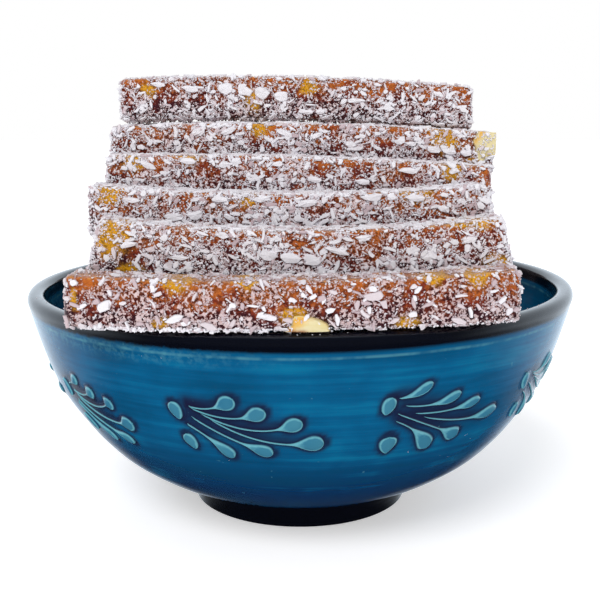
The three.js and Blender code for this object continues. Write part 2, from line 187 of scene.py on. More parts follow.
# ---- kernels: full radii in millimetres, as the solids have them before the bar cuts them ----
KERNEL_RADII = {"hazelnut_front": (6.2, 4.6, 4.6), "hazelnut_end": (4.6, 4.6, 5.2)}
KERNEL_BAR = {"hazelnut_front": "bar_1", "hazelnut_end": "bar_5"}
KERNEL_DUST = {"hazelnut_front": 30, "hazelnut_end": 110}
KERNEL_RINGS = 24
KERNEL_AROUND = 40
KERNEL_WAVE = 0.42

# ---- coconut, sizes in millimetres ----
GRAIN_LENGTH = (0.4, 0.95)
GRAIN_WIDTH = (0.36, 0.74)
SLIVER_LENGTH = (0.9, 2.0)
SLIVER_WIDTH = (0.4, 0.75)
SHRED_LENGTH = (1.7, 3.5)
SHRED_WIDTH = (0.65, 1.35)
CHIP_SIZE = (1.3, 3.0)
FLAKE_THICKNESS = 0.65
FLAKE_CORNERS = 9
FLAKE_CLEARANCE = 0.9
FLAKE_PROUD = 0.28  # how far a solid's flakes stand off its faces, at the least
LONGEST_FLAKE = 7.6
# How thickly each bar that shows is coated, against the amounts that the settings give.
COATING = {
    "bar_1": 0.44, "bar_2": 0.97, "bar_3": 1.2, "bar_4": 0.9, "bar_5": 0.88, "bar_6": 0.74,
    "bar_column_6_1": 0.6, "bar_column_7_1": 0.6, "bar_column_8_1": 0.6, "bar_rear_rim": 0.6,
}
INNER_COATING = 0.26
BARENESS = {"bar_1": 0.18, "bar_2": -0.08, "bar_3": -0.2}  # how much more of a bar's jelly is bare
DRYNESS = {"bar_1": (0.4, 0.56)}  # how white a bar's grains and its larger pieces stayed

# Coconut along an edge of a bar: how many chips, between which shares of its length, at which
# corner of its section, their sizes against a chip's, and how far they drop.
FRINGE = [
    (240, (-0.93, -0.08), (-1, -1), (0.22, 0.6), (-0.6, 0.3)),
    (180, (-0.08, 0.99), (-1, -1), (0.15, 0.35), (-0.3, 0.4)),
]
TOP_EDGE = (40, (-0.98, 0.98), (-0.9, 1), (0.2, 0.6), (-0.1, 0.1))
FILL_CRUMBS = 420
FALLEN_CRUMBS = 46
# Ways out of the heap that are tried from a place on a bar: leans off straight out.
WAYS_OUT = [(0, 0, 0), (0, 0, 0.8), (0, -0.9, 0.3), (0, 0.9, 0.3), (0.9, 0, 0.5), (-0.9, 0, 0.5)]

# ---- stage: each light's degrees round from the camera, height in degrees and spread ----
KEY_LIGHT = (-22, 44, 24)
FILL_LIGHT = (30, 20, 80)
FILL_SHARE = 0.28
FLOOR_RADIUS = 30.0
FLOOR_CORNERS = 64
FLOOR_GLIMMER = 0.5
SEED = 20


# ---------------------------------------------------------------- colours
def linear(red, green, blue):
    """A display colour, given in 0 to 255, as the linear colour that shaders take."""
    def one(level):
        share = level / 255
        return share / 12.92 if share <= 0.04045 else ((share + 0.055) / 1.055) ** 2.4
    return one(red), one(green), one(blue)


# ---------------------------------------------------------------- settings
def colour(name, description, *display):
    """A colour setting with its default given as a display colour."""
    return FloatVectorProperty(
        name=name, description=description, subtype="COLOR", size=3, min=0, max=1,
        default=linear(*display),
    )


class CezeryeGlaze(bpy.types.PropertyGroup):
    """Colours of the bowl's glaze."""
    wall: colour("Wall", "Glaze over the clear wall", 2, 87, 131)
    bright: colour("Bright streaks", "Glaze where the brush left it thin", 6, 122, 160)
    # Painted shade: the colour the wall darkens to low down, where it faces away from the light.
    lower: colour("Lower wall", "Glaze where it ran thick, low on the wall", 0, 17, 68)
    dark: colour("Rim and foot", "Dark glaze on the rim and the foot", 5, 7, 18)
    pool: colour("Pooled glaze", "Glaze that gathered beside the slip", 24, 24, 54)
    thin: colour("Thin glaze", "Glaze that ran thin over the slip", 84, 150, 162)


class CezeryeJelly(bpy.types.PropertyGroup):
    """Colours of the jelly and the kernels."""
    amber: colour("Amber", "Jelly where light comes through it", 190, 100, 32)
    red: colour("Red", "Jelly in the middle of a bar", 134, 46, 18)
    plum: colour("Plum", "Jelly in shade, low on a bar", 72, 26, 36)
    gold: colour("Gold", "Jelly over a kernel", 232, 168, 24)
    kernel: colour("Kernel", "Cut kernel", 228, 216, 172)


class CezeryeCoconut(bpy.types.PropertyGroup):
    """Colours and amounts of the coconut."""
    white: colour("White", "Dry coconut", 236, 234, 240)
    stained: colour("Stained", "Coconut that took colour from the jelly", 208, 176, 174)
    grains: FloatProperty(
        name="Grains", description="Grains on a square millimetre of open face", default=3.45, min=0,
    )
    slivers: FloatProperty(
        name="Slivers", description="Slivers on a square millimetre of open face",
        default=0.22, min=0,
    )
    shreds: FloatProperty(
        name="Shreds", description="Shreds on a square millimetre of open face", default=0.12, min=0,
    )
    chips: FloatProperty(
        name="Chips", description="Chips on a square millimetre of open face", default=0.18, min=0,
    )


class CezeryeStage(bpy.types.PropertyGroup):
    """Camera and light."""
    distance: FloatProperty(
        name="Distance", description="From the camera to the bowl's axis", default=0.3165,
        min=0.1, unit="LENGTH",
    )
    height: FloatProperty(
        name="Height", description="Height of the camera over the table", default=0.1225,
        min=0, unit="LENGTH",
    )
    look_down: FloatProperty(
        name="Look down", description="How far the camera looks down", default=math.radians(9.92),
        subtype="ANGLE",
    )
    lens: FloatProperty(
        name="Lens", description="Focal length in millimetres on a 36 mm sensor", default=55.98, min=10,
    )
    sky: FloatProperty(
        name="Surroundings", description="Strength of the light from all round", default=0.42, min=0,
    )
    key: FloatProperty(
        name="Key light", description="Strength of the light from above the camera",
        default=1.56, min=0,
    )
    detail_seed: IntProperty(
        name="Seed", description="Seed of every random draw", default=SEED, min=0,
    )


# ---------------------------------------------------------------- shader maths
class Level:
    """A number or colour on a socket, which Python's operators turn into Math nodes."""

    def __init__(self, finish, socket):
        self.finish = finish
        self.socket = socket

    def _math(self, operation, *values, clamp=False):
        settings = {"operation": operation, "use_clamp": clamp}
        return self.finish.node("ShaderNodeMath", settings, dict(enumerate(values)))

    def __add__(self, other):
        return self._math("ADD", self, other)

    def __sub__(self, other):
        return self._math("SUBTRACT", self, other)

    def __mul__(self, other):
        return self._math("MULTIPLY", self, other)

    def __rsub__(self, other):
        return self._math("SUBTRACT", other, self)

    __radd__ = __add__
    __rmul__ = __mul__

    def clamped(self):
        """Kept within 0 and 1."""
        return self._math("ADD", self, 0.0, clamp=True)

    def smooth(self, low, high):
        """0 below low, 1 above high and a soft step between."""
        settings = {"interpolation_type": "SMOOTHSTEP"}
        inputs = {"Value": self, "From Min": low, "From Max": high}
        return self.finish.node("ShaderNodeMapRange", settings, inputs)


class Finish:
    """The node tree of a material, or of the world, being built."""

    def __init__(self, owner):
        self.owner = owner
        owner.use_nodes = True
        self.tree = owner.node_tree
        self.tree.nodes.clear()

    def node(self, kind, settings=None, inputs=None, output=0):
        """Adds a node: its settings first, then the values or links of its sockets."""
        made = self.tree.nodes.new(kind)
        for name, value in (settings or {}).items():
            if name == "stops":
                self._stops(made.color_ramp, value)
            else:
                setattr(made, name, value)
        for name, value in (inputs or {}).items():
            if isinstance(value, Level):
                self.tree.links.new(value.socket, made.inputs[name])
            elif isinstance(value, (int, float)):
                made.inputs[name].default_value = value
            else:
                room = len(made.inputs[name].default_value)
                made.inputs[name].default_value = (*value, 1.0)[:room]
        return Level(self, made.outputs[output]) if len(made.outputs) else None

    @staticmethod
    def _stops(ramp, stops):
        while len(ramp.elements) < len(stops):
            ramp.elements.new(0.5)
        for element, (place, shade) in zip(ramp.elements, stops):
            element.position = place
            element.color = (*shade, 1.0)

    def place(self):
        """The place on the object, in metres."""
        return self.node("ShaderNodeTexCoord", output=3)

    def stretched(self, scale):
        """The place, scaled along each axis."""
        return self.node("ShaderNodeVectorMath", {"operation": "MULTIPLY"}, {0: self.place(), 1: scale})

    def kept(self, name):
        """A number kept on the mesh under this name."""
        return self.node("ShaderNodeAttribute", {"attribute_name": name}, output=2)

    def noise(self, scale, detail=3.0, roughness=0.55, vector=None, warp=0.0):
        inputs = {
            "Vector": vector or self.place(), "Scale": scale, "Detail": detail,
            "Roughness": roughness, "Distortion": warp,
        }
        return self.node("ShaderNodeTexNoise", {"noise_dimensions": "3D"}, inputs)

    def mix(self, share, first, second):
        """A colour from first, where share is 0, to second, where it is 1."""
        inputs = {0: share, 6: first, 7: second}
        return self.node("ShaderNodeMix", {"data_type": "RGBA"}, inputs, 2)

    def ramp(self, share, stops):
        return self.node("ShaderNodeValToRGB", {"stops": stops}, {0: share})

    def bump(self, height, distance, strength=1.0):
        inputs = {"Height": height, "Distance": distance, "Strength": strength}
        return self.node("ShaderNodeBump", None, inputs)

    def done(self, inputs):
        """Ends the material in one shader with these inputs."""
        shader = self.node("ShaderNodeBsdfPrincipled", None, inputs)
        self.node("ShaderNodeOutputMaterial", None, {"Surface": shader})
        return self.owner


# ---------------------------------------------------------------- materials
def streaked_wall(made, glaze, height, clouds, broad):
    """The wall's colour: darker low down as painted shade, streaked round by the brush, and pooled
    beside the slip."""
    streaks = made.noise(1.0, 4.0, 0.65, made.stretched((16, 16, 420)))
    # Painted shade: darker low on the wall.
    wall = made.mix((1 - height.smooth(0.24, 0.62)) * 0.85, glaze.wall, glaze.lower)
    streak = (streaks - 0.5) * 1.4 + (broad - 0.5) * 1.7 + (clouds - 0.5) * 1.3 + 0.5
    deep = tuple(level * 0.5 for level in glaze.wall)
    wall = made.mix((1 - streak).smooth(0.3, 1.0) * 0.7, wall, deep)
    wall = made.mix(streak.smooth(0.5, 1.1) * 0.6, wall, glaze.bright)
    pool = made.kept("pool")
    return made.mix((pool * (0.75 + clouds * 0.5)).clamped(), wall, glaze.pool)


def thinned_under_rim(made, glaze, wall, edge, ragged, left):
    """Thin glaze just under the dark rim: mottled towards the left, and in a broken line."""
    mottle = edge.smooth(0.855, 0.91) * (1 - edge.smooth(0.93, 0.95)) * ragged.smooth(0.4, 0.68) * left
    wall = made.mix(mottle * 0.3, wall, glaze.thin)
    dashed = made.noise(1.0, 3.0, 0.6, made.stretched((180, 180, 60))).smooth(0.36, 0.66)
    line = edge.smooth(0.91, 0.918) * (1 - edge.smooth(0.919, 0.928)) * (0.1 + dashed * 0.42)
    return made.mix(line, wall, glaze.thin)


def slip_colour(made, glaze, clouds, grit):
    """Glaze thin over the slip, thinnest in a pale ring near its edge; the pale ring is partly a
    painted highlight.
    """
    body = made.mix(0.45 + (clouds - 0.5) * 0.9, glaze.wall, glaze.thin)
    light = tuple(min(1, level * 1.3 + 0.03) for level in glaze.thin)
    # Pale ring and pale tails: thin glaze, partly a painted highlight.
    crest = (made.kept("crest") + (grit - 0.5) * 0.6).smooth(0.2, 0.95) * 0.85
    return made.mix(crest, body, light)


def glaze_material(glaze):
    """Clear turquoise glaze: dark on the rim and foot, streaked round, pooled beside the slip and
    thin on it."""
    made = Finish(bpy.data.materials.new("turquoise_glaze"))
    height = made.kept("wall_height")
    clouds = made.noise(38.0, 3.0, 0.6)
    broad = made.noise(1.0, 3.0, 0.5, made.stretched((12, 12, 90)))
    ragged = made.noise(560.0, 3.0, 0.6)
    grit = made.noise(900.0, 2.0, 0.5)
    left = 1 - made.node("ShaderNodeSeparateXYZ", None, {0: made.place()}).smooth(-0.045, 0.005)
    edge = height + (clouds - 0.5) * 0.012 + (broad - 0.5) * 0.01
    wall = streaked_wall(made, glaze, height, clouds, broad)
    wall = thinned_under_rim(made, glaze, wall, edge, ragged, left)
    rim = (edge + (ragged - 0.5) * left * 0.02).smooth(0.93, 0.948)
    foot = 1 - (height + (clouds - 0.5) * 0.02).smooth(0.128, 0.165)
    shade = made.mix((rim + foot * (1 - made.kept("inside"))).clamped(), wall, glaze.dark)
    shade = made.mix(made.kept("slip"), shade, slip_colour(made, glaze, clouds, grit))
    specks = made.noise(480.0, 1.0, 0.5).smooth(0.76, 0.79) * (1 - rim)
    shade = made.mix(specks * 0.3, shade, glaze.thin)
    ripple = made.noise(1.0, 3.0, 0.5, made.stretched((30, 30, 260)))
    relief = ripple * 0.7 + grit * 0.06 + clouds * 0.5
    return made.done({
        "Base Color": shade, "Roughness": 0.12 + grit.smooth(0.5, 0.9) * 0.1, "IOR": 1.5,
        "Specular IOR Level": 0.45, "Normal": made.bump(relief, 0.0005, 0.45),
    })


def jelly_material(jelly, coconut):
    """Chewy jelly, gold over kernels, under a fine network of coconut dust. Painted light and shade:
    amber at the top and plum below, gold along the top edge, and dark painted shadow between the dust."""
    made = Finish(bpy.data.materials.new("cezerye_jelly"))
    height = made.kept("height")
    large = made.noise(110.0, 3.0, 0.6)
    small = made.noise(480.0, 3.0, 0.6)
    # Painted light and shade: amber high on a bar where light falls, red in the middle, plum low down
    # in shade.
    lift = (height * 0.5 + (large - 0.5) * 1.9 + (small - 0.5) * 1.3 + 0.45).clamped()
    shade = made.ramp(lift, [(0.12, jelly.plum), (0.48, jelly.red), (0.86, jelly.amber)])
    # Gold where kernels show through the jelly, plus painted light along the top edge.
    glow = made.kept("glow") * (0.5 + large) + (small - 0.5) * 0.9 + height.smooth(0.78, 1.0) * 0.36
    shade = made.mix(glow.smooth(0.2, 0.8) * 0.9, shade, jelly.gold)
    bare = made.kept("bare") + (small - 0.5) * 0.6
    clumps = made.noise(230.0, 3.0, 0.6)
    network = made.noise(1150.0, 3.0, 0.65, warp=0.4)
    # Painted shadow: dark plum between the dust.
    gap_shadow = (1 - network).smooth(0.46, 0.64) * (0.85 - bare * 0.35)
    shade = made.mix(gap_shadow.clamped(), shade, tuple(level * 0.3 for level in jelly.plum))
    fill = network + (clumps - 0.5) * 0.5 - bare * 0.06 - height * 0.015
    dust = fill.smooth(0.5, 0.54)
    pale = made.mix(fill.smooth(0.53, 0.66) * made.kept("dry"), coconut.stained, coconut.white)
    shade = made.mix(dust * 0.9, shade, pale)
    relief = dust * 0.9 + network * 0.6 + small * 0.4
    return made.done({
        "Base Color": shade, "Roughness": 0.3 + dust * 0.4, "IOR": 1.45,
        "Normal": made.bump(relief, 0.0005, 0.9),
    })


def coconut_material(coconut):
    """Dried coconut: off-white, some of it stained by the jelly, with a faint fibre."""
    made = Finish(bpy.data.materials.new("desiccated_coconut"))
    tone = made.kept("tone")
    fibre = made.noise(1800.0, 2.0, 0.5)
    shade = made.mix(tone.smooth(0.05, 0.45), coconut.stained, coconut.white)
    dull = tuple(level * share for level, share in zip(coconut.white, (0.6, 0.54, 0.58)))
    shade = made.mix((1 - tone).smooth(0.5, 1.0) * 0.6 + fibre.smooth(0.5, 0.8) * 0.15, shade, dull)
    return made.done({
        "Base Color": shade, "Roughness": 0.55, "IOR": 1.45,
        "Normal": made.bump(fibre, 0.00015, 0.5),
    })


def kernel_material(jelly):
    """Cream cut kernel, warmer towards the jelly round it."""
    made = Finish(bpy.data.materials.new("cut_kernel"))
    grain = made.noise(500.0, 3.0, 0.55)
    veins = made.noise(1.0, 2.0, 0.5, made.stretched((260, 260, 900)))
    warm = tuple(level * share for level, share in zip(jelly.kernel, (0.94, 0.84, 0.5)))
    shade = made.mix(veins.smooth(0.35, 0.75) * 0.6, jelly.kernel, warm)
    margin = made.kept("margin") + (grain - 0.5) * 0.7
    shade = made.mix(margin.smooth(0.15, 0.95) * 0.85, shade, jelly.gold)
    shade = made.mix(made.kept("crease") * 0.8, shade, jelly.red)
    return made.done({
        "Base Color": shade, "Roughness": 0.45, "IOR": 1.45,
        "Normal": made.bump(grain * 0.6 + veins * 0.4, 0.0003, 0.6),
    })


def paper_material():
    """The matt white floor."""
    made = Finish(bpy.data.materials.new("white_floor"))
    grain = made.noise(60.0, 2.0, 0.5)
    shade = made.mix(grain, (0.93, 0.93, 0.94), (0.95, 0.95, 0.95))
    glimmer = {"Emission Color": shade, "Emission Strength": FLOOR_GLIMMER}
    return made.done({"Base Color": shade, "Roughness": 0.7, **glimmer})


# ---------------------------------------------------------------- meshes
def add_mesh(name, points, faces, material, kept=None, smooth=True):
    """A mesh object in the scene from arrays, with numbers kept on its points."""
    mesh = bpy.data.meshes.new(name)
    mesh.from_pydata(np.asarray(points).tolist(), [], [list(face) for face in faces])
    mesh.update()
    for label, values in (kept or {}).items():
        attribute = mesh.attributes.new(label, "FLOAT", "POINT")
        attribute.data.foreach_set("value", np.asarray(values, np.float32))
    mesh.polygons.foreach_set("use_smooth", [smooth] * len(mesh.polygons))
    mesh.materials.append(material)
    piece = bpy.data.objects.new(name, mesh)
    bpy.context.scene.collection.objects.link(piece)
    return piece


def finish_piece(piece, slot, *nodes):
    """Rides a piece on the one body and hides the solids that it stands for; slot is not used."""
    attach(piece, BODY)
    if nodes:
        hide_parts(*nodes)
    return piece


def solid_arrays(node):
    """A solid's corners and triangles."""
    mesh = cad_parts[node].data
    mesh.calc_loop_triangles()
    corners = np.empty(3 * len(mesh.vertices))
    mesh.vertices.foreach_get("co", corners)
    triangles = np.empty(3 * len(mesh.loop_triangles), np.int32)
    mesh.loop_triangles.foreach_get("vertices", triangles)
    return corners.reshape(-1, 3), triangles.reshape(-1, 3)


def solid_tree(nodes):
    """A ray tree over some solids."""
    corners = []
    triangles = []
    start = 0
    for node in nodes:
        points, faces = solid_arrays(node)
        corners += points.tolist()
        triangles += (faces + start).tolist()
        start += len(points)
    return BVHTree.FromPolygons(corners, triangles)


def unit(vectors):
    """Vectors brought to length 1."""
    return vectors / np.linalg.norm(vectors, axis=1, keepdims=True)


def rough(points, scale, share, finer):
    """Noise at each point, with a share of finer noise on it."""
    return np.array([
        noise.noise(Vector(point) * scale) + share * noise.noise(Vector(point) * finer)
        for point in points
    ])


def ring_faces(rings, around, closed_ends=False):
    """Quads between rings of points, each ring closed on itself."""
    steps = np.arange(around)
    ahead = (steps + 1) % around
    starts = np.arange(rings - 1)[:, None] * around
    above = starts + around
    quads = np.stack([starts + steps, starts + ahead, above + ahead, above + steps], -1)
    faces = quads.reshape(-1, 4).tolist()
    if closed_ends:
        faces.append(steps[::-1].tolist())
        faces.append((steps + (rings - 1) * around).tolist())
    return faces


# ---------------------------------------------------------------- bowl
def smooth_line(corners, step):
    """A Catmull-Rom line through an outline's corners, with points about a step apart."""
    corners = np.array(corners, float)
    padded = np.vstack([2 * corners[0] - corners[1], corners, 2 * corners[-1] - corners[-2]])
    line = []
    for before, start, end, after in zip(padded, padded[1:], padded[2:], padded[3:]):
        count = max(1, round(np.linalg.norm(end - start) / step))
        for share in np.arange(count) / count:
            line.append(0.5 * (
                2 * start + (end - before) * share
                + (2 * before - 5 * start + 4 * end - after) * share ** 2
                + (3 * start - before - 3 * end + after) * share ** 3
            ))
    line.append(corners[-1])
    return np.array(line)


def filleted(corners, radius, arc_steps=4):
    """Straight stretches between corners, with each inner corner rounded off."""
    corners = [np.array(corner, float) for corner in corners]
    line = [corners[0]]
    for before, corner, after in zip(corners, corners[1:], corners[2:]):
        back = (before - corner) / np.linalg.norm(before - corner)
        ahead = (after - corner) / np.linalg.norm(after - corner)
        for share in np.linspace(0, 1, arc_steps):
            bend = (1 - share) ** 2 * back + share ** 2 * ahead
            line.append(corner + radius * bend)
    line.append(corners[-1])
    return np.array(line)


def bowl_outline():
    """The bowl's outline from the middle of its underside, round, to the middle of its inside."""
    foot = filleted([
        (0, FOOT_RECESS), (12, FOOT_RECESS), (22, FOOT_RECESS),
        (FOOT_RADIUS - FOOT_WALL - FOOT_FLARE, FOOT_RECESS), (FOOT_RADIUS - FOOT_WALL, 0),
        (FOOT_RADIUS, 0), (FOOT_RADIUS + FOOT_FLARE * 0.8, FOOT_HEIGHT * 0.8),
    ], FOOT_FILLET)
    outer = smooth_line(OUTER_WALL, WALL_STEP)
    middle = RIM_RADIUS - RIM_THICKNESS / 2
    spread = RIM_THICKNESS / 2
    turns = np.linspace(0, math.pi, LIP_POINTS)[1:-1]
    lip_foot = OUTER_WALL[-1][1]
    lip = np.column_stack([
        middle + spread * np.sign(np.cos(turns)) * np.abs(np.cos(turns)) ** LIP_SQUARENESS,
        lip_foot + (BOWL_HEIGHT - lip_foot) * np.sin(turns) ** LIP_SQUARENESS,
    ])
    inner = smooth_line(INNER_WALL, INSIDE_STEP)
    return foot, outer, lip, inner


def lifted(points):
    """The out-of-level rim: points in millimetres, up towards the lifted side."""
    share = np.clip((points[:, 2] - FOOT_HEIGHT) / (BOWL_HEIGHT - FOOT_HEIGHT), 0, 1)
    share = share * share * (3 - 2 * share)
    towards = points[:, 0] * math.cos(RIM_LIFTED_TO) + points[:, 1] * math.sin(RIM_LIFTED_TO)
    moved = points.copy()
    moved[:, 2] += RIM_LIFT * share * towards / RIM_RADIUS
    return moved


def by_hand(points):
    """The turned form with the small unevenness of handwork: points in millimetres."""
    hand = np.array([noise.noise(Vector((x * 0.02, y * 0.02, z * 0.05))) for x, y, z in points])
    swell = 1 + HAND_UNEVENNESS * hand
    return points * np.column_stack([swell, swell, np.ones(len(points))])


def wall_points(turn, up, out):
    """Points on the outer wall: degrees round from the front, height, and millimetres out of it."""
    heights = [point[1] for point in WALL_LINE]
    radii = [point[0] for point in WALL_LINE]
    radius = np.interp(up, heights, radii)
    slope = np.interp(up + 0.5, heights, radii) - np.interp(up - 0.5, heights, radii)
    size = np.sqrt(1 + slope * slope)
    angle = np.radians(np.asarray(turn) - 90)
    reach = radius + out / size
    points = np.column_stack([reach * np.cos(angle), reach * np.sin(angle), up - out * slope / size])
    return lifted(by_hand(points))


WALL_LINE = smooth_line(OUTER_WALL, WALL_STEP)
SPRAY_RADIUS = float(np.interp(SPRAY_HEIGHT - 4, WALL_LINE[:, 1], WALL_LINE[:, 0]))
MM_PER_DEGREE = math.radians(1) * SPRAY_RADIUS


def trail_line(start, bend, head, cap):
    """A trail's middle line, from its start round its bend to the far end of its head."""
    start, bend, head = (np.array(point, float) for point in (start, bend, head))
    ahead = (head - bend) * (MM_PER_DEGREE, 1)
    ahead = ahead / np.linalg.norm(ahead) * cap
    tip = head + ahead / (MM_PER_DEGREE, 1)
    bend = bend + (tip - head) * BEND_DRAWN
    share = 1 - (1 - np.linspace(0, 1, TRAIL_POINTS)[:, None]) ** TRAIL_BUNCHING
    return (1 - share) ** 2 * start + 2 * share * (1 - share) * bend + share ** 2 * tip


def trail_widths(line, width, neck, cap):
    """Half the width of the slip at each point of a trail, a thin tail with a head at its end, and
    how full it is."""
    steps = np.linalg.norm(np.diff(line * (MM_PER_DEGREE, 1), axis=0), axis=1)
    to_tip = np.concatenate([np.cumsum(steps[::-1])[::-1], [0]])
    tail = 0.5 * TAIL_WIDTH * np.clip((np.arange(len(line)) + 1) / 3, 0, 1)
    round_end = np.sqrt(np.clip(1 - (1 - np.clip(to_tip / cap, 0, 1)) ** 2, 0, 1))
    neck_share = np.clip((to_tip - cap) / (NECK_STRETCH * neck), 0, 1)
    fullness = ((1 + np.cos(math.pi * neck_share)) / 2) ** NECK_POWER
    head = (0.5 * width - tail) * (round_end * fullness)
    return np.maximum(THINNEST, tail * round_end + head), fullness


def bead_line(at, lean, length, width, taper):
    """A separate bead as a short straight ridge, with its half widths."""
    lean = math.radians(lean)
    ahead = np.array([math.cos(lean), math.sin(lean)]) / (MM_PER_DEGREE, 1)
    turns = np.linspace(0.04, math.pi - 0.04, BEAD_POINTS)
    line = np.array(at) - np.outer(np.cos(turns), ahead) * length / 2
    return line, width / 2 * np.sin(turns) ** BEAD_BLUNTNESS * (1 + taper * np.cos(turns))


def all_slip():
    """Every ridge of slip on the bowl: its middle line, half widths and fullness, and how much
    glaze pooled beside it."""
    for spray, (trails, beads) in enumerate(SPRAYS):
        shift, lift = SPRAY_HAND.get(spray, (0, 0))
        corner = np.array([FIRST_SPRAY + spray * SPRAY_TURN + shift, SPRAY_HEIGHT + lift])
        pooled = SPRAY_POOL.get(spray, 1)
        for start, bend, head, width, neck, cap in trails:
            line = trail_line(start, bend, head, cap)
            half, fullness = trail_widths(line, width, neck, cap)
            yield line + corner, half, fullness, pooled
        for bead in beads:
            line, half = bead_line(*bead)
            yield line + corner, half, np.ones(len(line)), pooled


def pool_depth(turn, up):
    """How dark the glaze pooled at places on the wall: in a line along the slip, and broadly
    above it and where trails draw together."""
    clear = np.ones(len(turn))
    for line, half, fullness, pooled in all_slip():
        spots = line * (MM_PER_DEGREE, 1)
        low, high = spots.min(0) - POOL_REACH, spots.max(0) + POOL_REACH
        turned = (turn - line[:, 0].mean() + 180) % 360 - 180 + line[:, 0].mean()
        places = np.column_stack([turned * MM_PER_DEGREE, up])
        near = np.all((places > low) & (places < high), axis=1)
        for shift, width, weight, tails_only in POOLS:
            gap = np.linalg.norm(places[near][:, None] + shift - spots[None], axis=2) - half[None]
            full = fullness[gap.argmin(1)]
            gap = np.clip(gap.min(1), 0, None) / width
            clear[near] *= 1 - pooled * weight * (1 - full * tails_only) * np.exp(-gap ** 2)
    return 1 - clear


def slip_strip(line, half, fullness, lift):
    """A closed ridge of slip along a line, with the glaze for a little way beside it: points, faces,
    and the slip's cover, its pale ring (partly a painted highlight) and the height on the wall.
    Beside the ridge the strip lies on the wall and then dips into it, so that its edge doesn't show."""
    over = np.sin(np.linspace(-1, 1, SLIP_COLUMNS) * math.pi / 2)
    beside = np.array([0.4, 0.8, SKIRT - 0.1, SKIRT, SKIRT])
    flat = line * (MM_PER_DEGREE, 1)
    ahead = unit(np.gradient(flat, axis=0))
    side = np.column_stack([-ahead[:, 1], ahead[:, 0]])
    count = len(line)
    across = np.hstack([
        -(half[:, None] + beside[::-1]), half[:, None] * over, half[:, None] + beside,
    ])
    tail = TAIL_WIDTH / 2
    swell = np.clip((half - tail) / (half.max() - tail), 0, 1) ** 0.7
    rise = TAIL_RISE * np.clip(half / (0.8 * tail), 0, 1) + (SLIP_RISE - TAIL_RISE) * swell
    dip = MIDDLE_DIP * fullness[:, None] * np.exp(-(over / DIP_WIDTH) ** 2)
    bell = np.clip(np.cos(over * math.pi / 2), 0, 1) ** 0.9 * (1 - dip)
    low = np.tile([lift, lift, -0.03, -0.06, -SLIP_SINK], (count, 1))
    out = np.hstack([low[:, ::-1], lift + rise[:, None] * bell, low])
    out[[0, -1]] = np.minimum(out[[0, -1]], -0.06)
    places = flat[:, None, :] + side[:, None, :] * across[:, :, None]
    places = places.reshape(-1, 2) / (MM_PER_DEGREE, 1)
    points = wall_points(places[:, 0], places[:, 1], out.ravel())
    none = np.zeros((count, len(beside)))
    cover = np.tile(np.clip((1 - np.abs(over)) / SLIP_EDGE, 0, 1), (count, 1))
    inset = half[:, None] * (1 - np.abs(over))
    ring = np.exp(-((inset - RING_DEPTH) / RING_WIDTH) ** 2)
    # Pale ring near each head's edge and all along the tails: thin glaze, partly a painted highlight.
    crest = np.maximum(ring, 1 - fullness[:, None])
    kept = {
        "slip": np.hstack([none, cover, none]).ravel(),
        "crest": np.hstack([none, crest, none]).ravel(),
        "wall_height": places[:, 1] / BOWL_HEIGHT,
        "pool": pool_depth(places[:, 0], places[:, 1]),
    }
    return points, ring_faces(count, across.shape[1], closed_ends=True), kept


def build_bowl(material):
    """The turned bowl, with its glaze depth kept on its points."""
    foot, outer, lip, inner = bowl_outline()
    outline = np.vstack([foot[1:], outer, lip, inner[:-1]])
    rows = len(outline)
    angles = np.linspace(0, 2 * math.pi, BOWL_TURNS, endpoint=False)
    radius, height = outline[:, 0], outline[:, 1]
    points = np.column_stack([
        np.outer(radius, np.cos(angles)).ravel(), np.outer(radius, np.sin(angles)).ravel(),
        np.repeat(height, BOWL_TURNS),
    ])
    first_inside = len(foot) - 1 + len(outer) + len(lip)
    row = np.repeat(np.arange(rows), BOWL_TURNS)
    inside = (row >= first_inside - 1).astype(float)
    turn = np.tile(np.degrees(angles) + 90, rows)
    turn = (turn + 180) % 360 - 180
    pool = np.zeros(len(points))
    low, high = POOL_HEIGHTS
    outside = (row >= len(foot)) & (row < first_inside)
    outside &= (points[:, 2] > low) & (points[:, 2] < high)
    pool[outside] = pool_depth(turn[outside], points[outside, 2])
    points = lifted(by_hand(points))
    kept_height = np.repeat(height, BOWL_TURNS) / BOWL_HEIGHT
    centres = np.array([[0, 0, FOOT_RECESS], [0, 0, FLOOR_HEIGHT]])
    faces = ring_faces(rows, BOWL_TURNS)
    steps = np.arange(BOWL_TURNS)
    ahead = (steps + 1) % BOWL_TURNS
    under, over = len(points), len(points) + 1
    last = (rows - 1) * BOWL_TURNS
    faces += [[under, b, a] for a, b in zip(steps, ahead)]
    faces += [[over, last + a, last + b] for a, b in zip(steps, ahead)]
    kept = {
        "wall_height": np.append(kept_height, (0, FLOOR_HEIGHT / BOWL_HEIGHT)),
        "pool": np.append(pool, (0, 0)),
        "inside": np.append(inside, (0, 1)),
    }
    return add_mesh("glazed_bowl", np.vstack([points, centres]) * MM, faces, material, kept)


def build_slip(material):
    """All the raised slip as one piece that lies on the wall."""
    points, faces, kept = [], [], {}
    start = 0
    for index, ridge in enumerate(all_slip()):
        strip, strip_faces, values = slip_strip(*ridge[:3], lift=0.03 + 0.004 * (index % 8))
        points.append(strip)
        faces += [[corner + start for corner in face] for face in strip_faces]
        for name, row in values.items():
            kept.setdefault(name, []).append(row)
        start += len(strip)
    kept = {name: np.concatenate(rows) for name, rows in kept.items()}
    return add_mesh("slip_sprays", np.vstack(points) * MM, faces, material, kept)


